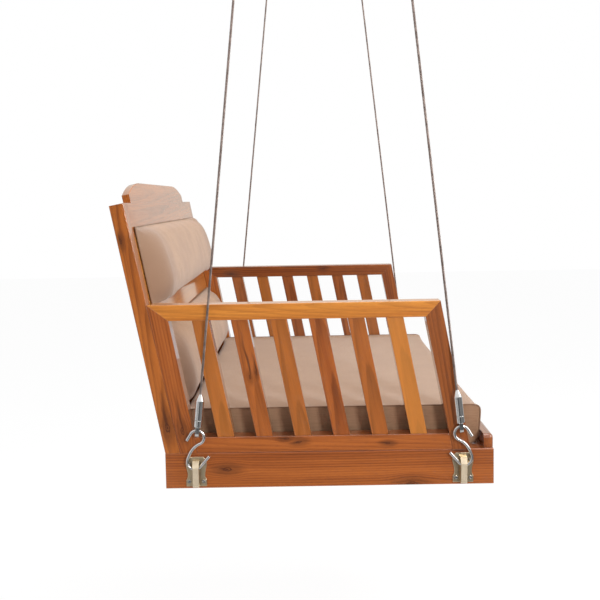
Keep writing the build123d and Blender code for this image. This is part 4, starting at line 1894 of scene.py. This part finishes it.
@dataclass
class Studio:
    """Camera, lamps, pale floor and white surroundings."""

    place: Point = (-2.68618, 0.04338, -0.76931)
    pitch: float = 5.4547
    yaw: float = -0.28358
    roll: float = 1.00114
    lens: float = 63.149
    sensor: float = 36.0
    nearest: float = 0.05
    floor_half: float = 14.0
    floor_grey: float = 0.86
    soft_light: float = 0.62
    low_tint: Colour = (0.78, 0.71, 0.63)
    lamps: tuple[Lamp, ...] = (
        Lamp("side_lamp", (-3.6, -1.25, -0.35), (0.0, 0.0, -1.1), 0.55, 47.0),
        Lamp("front_lamp", (-1.0, -3.4, 0.3), (0.0, 0.0, -1.1), 1.8, 52.0),
        Lamp("top_lamp", (-0.2, -0.6, 1.6), (0.0, 0.1, -1.1), 2.4, 60.0),
    )

    def build(self) -> None:
        """Sets up everything that isn't part of the object."""
        self.add_camera()
        for lamp in self.lamps:
            lamp.build()
        self.add_floor()
        self.add_world()
        bpy.context.scene.view_settings.view_transform = "Standard"

    def add_camera(self) -> None:
        """Places the camera."""
        pitch, yaw, roll = (math.radians(angle) for angle in (self.pitch, self.yaw, self.roll))
        ahead = Vector((math.cos(yaw) * math.cos(pitch), -math.sin(yaw) * math.cos(pitch), -math.sin(pitch)))
        level = Vector((-math.sin(yaw), -math.cos(yaw), 0.0))
        above = level.cross(ahead)
        right = math.cos(roll) * level - math.sin(roll) * above
        up = math.sin(roll) * level + math.cos(roll) * above
        data = bpy.data.cameras.new("camera")
        data.lens = self.lens
        data.sensor_width = self.sensor
        data.clip_start = self.nearest
        camera = bpy.data.objects.new("camera", data)
        turn = Matrix((right, up, -ahead)).transposed().to_4x4()
        camera.matrix_world = Matrix.Translation(self.place) @ turn
        bpy.context.scene.collection.objects.link(camera)
        bpy.context.scene.camera = camera

    def add_floor(self) -> None:
        """Lays a pale floor that runs out to white and keeps the object's shadow."""
        shape = bmesh.new()
        level = Matrix.Translation((0, 0, FLOOR_UP))
        bmesh.ops.create_grid(shape, x_segments=1, y_segments=1, size=self.floor_half, matrix=level)
        floor = new_piece("floor", finished(shape, "floor"))
        material = bpy.data.materials.new("pale_floor")
        pen = Pen.on(material)
        matt = pen.node("ShaderNodeBsdfDiffuse")
        pen.feed(matt.inputs["Color"], (self.floor_grey,) * 3)
        seen = pen.node("ShaderNodeLightPath")
        camera, glossy = seen.outputs["Is Camera Ray"], seen.outputs["Is Glossy Ray"]
        x, y, _ = pen.parts(pen.node("ShaderNodeTexCoord").outputs["Object"])
        far = pen.span(pen.reach(x, y), 0.8, 2.6, 0.0, 0.72)
        gap = pen.times(pen.minus(1.0, self.screens(pen, x, y)), far)
        mirrored = pen.times(glossy, pen.minus(0.78, gap))
        glow = pen.glow("ShaderNodeEmission", WHITE, pen.times_plus(camera, 1.05, mirrored))
        mix = pen.either(pen.times_plus(camera, 0.86, glossy), matt.outputs[0], glow)
        pen.feed(pen.node("ShaderNodeOutputMaterial").inputs["Surface"], mix)
        floor.data.materials.append(material)

    @staticmethod
    def screens(pen: Pen, x: Socket, y: Socket) -> Socket:
        """How bright the studio is round the compass, on the side that the lamps stand on.

        Args:
            pen: A pen on the tree.
            x: The direction's X.
            y: Its Y.

        Returns:
            The share of light: a black screen ahead and to the front, a pale strip and a grey one to
            the rear.
        """
        reach = pen.reach(x, y)
        front = pen.over(pen.times(y, -1.0), reach)
        away = pen.over(x, reach)
        grey = pen.times(pen.span(front, -0.80, -0.72), pen.span(front, -0.46, -0.38, 0.55, 0.0))
        rear = pen.minus(pen.span(front, -0.28, -0.18, 1.0, 0.0), grey)
        lit = pen.plus(rear, pen.span(front, 0.15, 0.40, 0.0, 0.22))
        return pen.larger(lit, pen.span(away, 0.25, 0.60))

    def add_world(self) -> None:
        """White surroundings, darker towards the side that the lamps stand on."""
        world = bpy.data.worlds.new("surroundings")
        bpy.context.scene.world = world
        pen = Pen.on(world)
        x, y, z = pen.parts(pen.node("ShaderNodeTexCoord").outputs["Generated"])
        seen = pen.node("ShaderNodeLightPath")
        behind = pen.larger(pen.span(z, 0.02, 0.30, 0.06, 1.0), self.screens(pen, x, y))
        side = pen.larger(behind, pen.span(x, 0.1, 0.6))
        tint = pen.blend(pen.span(x, 0.3, 0.9), WHITE, self.low_tint)
        dimmed = pen.vectors("SCALE", tint)
        pen.feed(dimmed.node.inputs["Scale"], pen.times(side, pen.span(z, -0.5, 0.5, 0.8, 1.0)))
        soft = pen.glow("ShaderNodeBackground", WHITE, self.soft_light)
        mirrored = pen.glow("ShaderNodeBackground", dimmed, 1.0)
        white = pen.glow("ShaderNodeBackground", WHITE, 1.0)
        gloss = pen.either(seen.outputs["Is Glossy Ray"], soft, mirrored)
        view = pen.either(seen.outputs["Is Camera Ray"], gloss, white)
        pen.feed(pen.node("ShaderNodeOutputWorld").inputs["Surface"], view)


# --- Making -------------------------------------------------------------------------------------


def main() -> None:
    """Builds the classes in order."""
    logging.basicConfig(level=logging.INFO, format="%(relativeCreated)d %(name)s %(message)s")
    Studio().build()
    effects = Effects.build()
    fittings = Fittings(effects)
    rope_steel = fittings.finish(ROPE_STEEL)
    for side, end in itertools.product(Side, End):
        WireRope(side, end, rope_steel).build()
    fittings.dress()
    StudThread(fittings.finish(ZINC_STEEL)).build()
    Joinery(effects, Lacquer()).dress()
    Upholstery(effects).build()


if __name__ == "__main__":
    main()
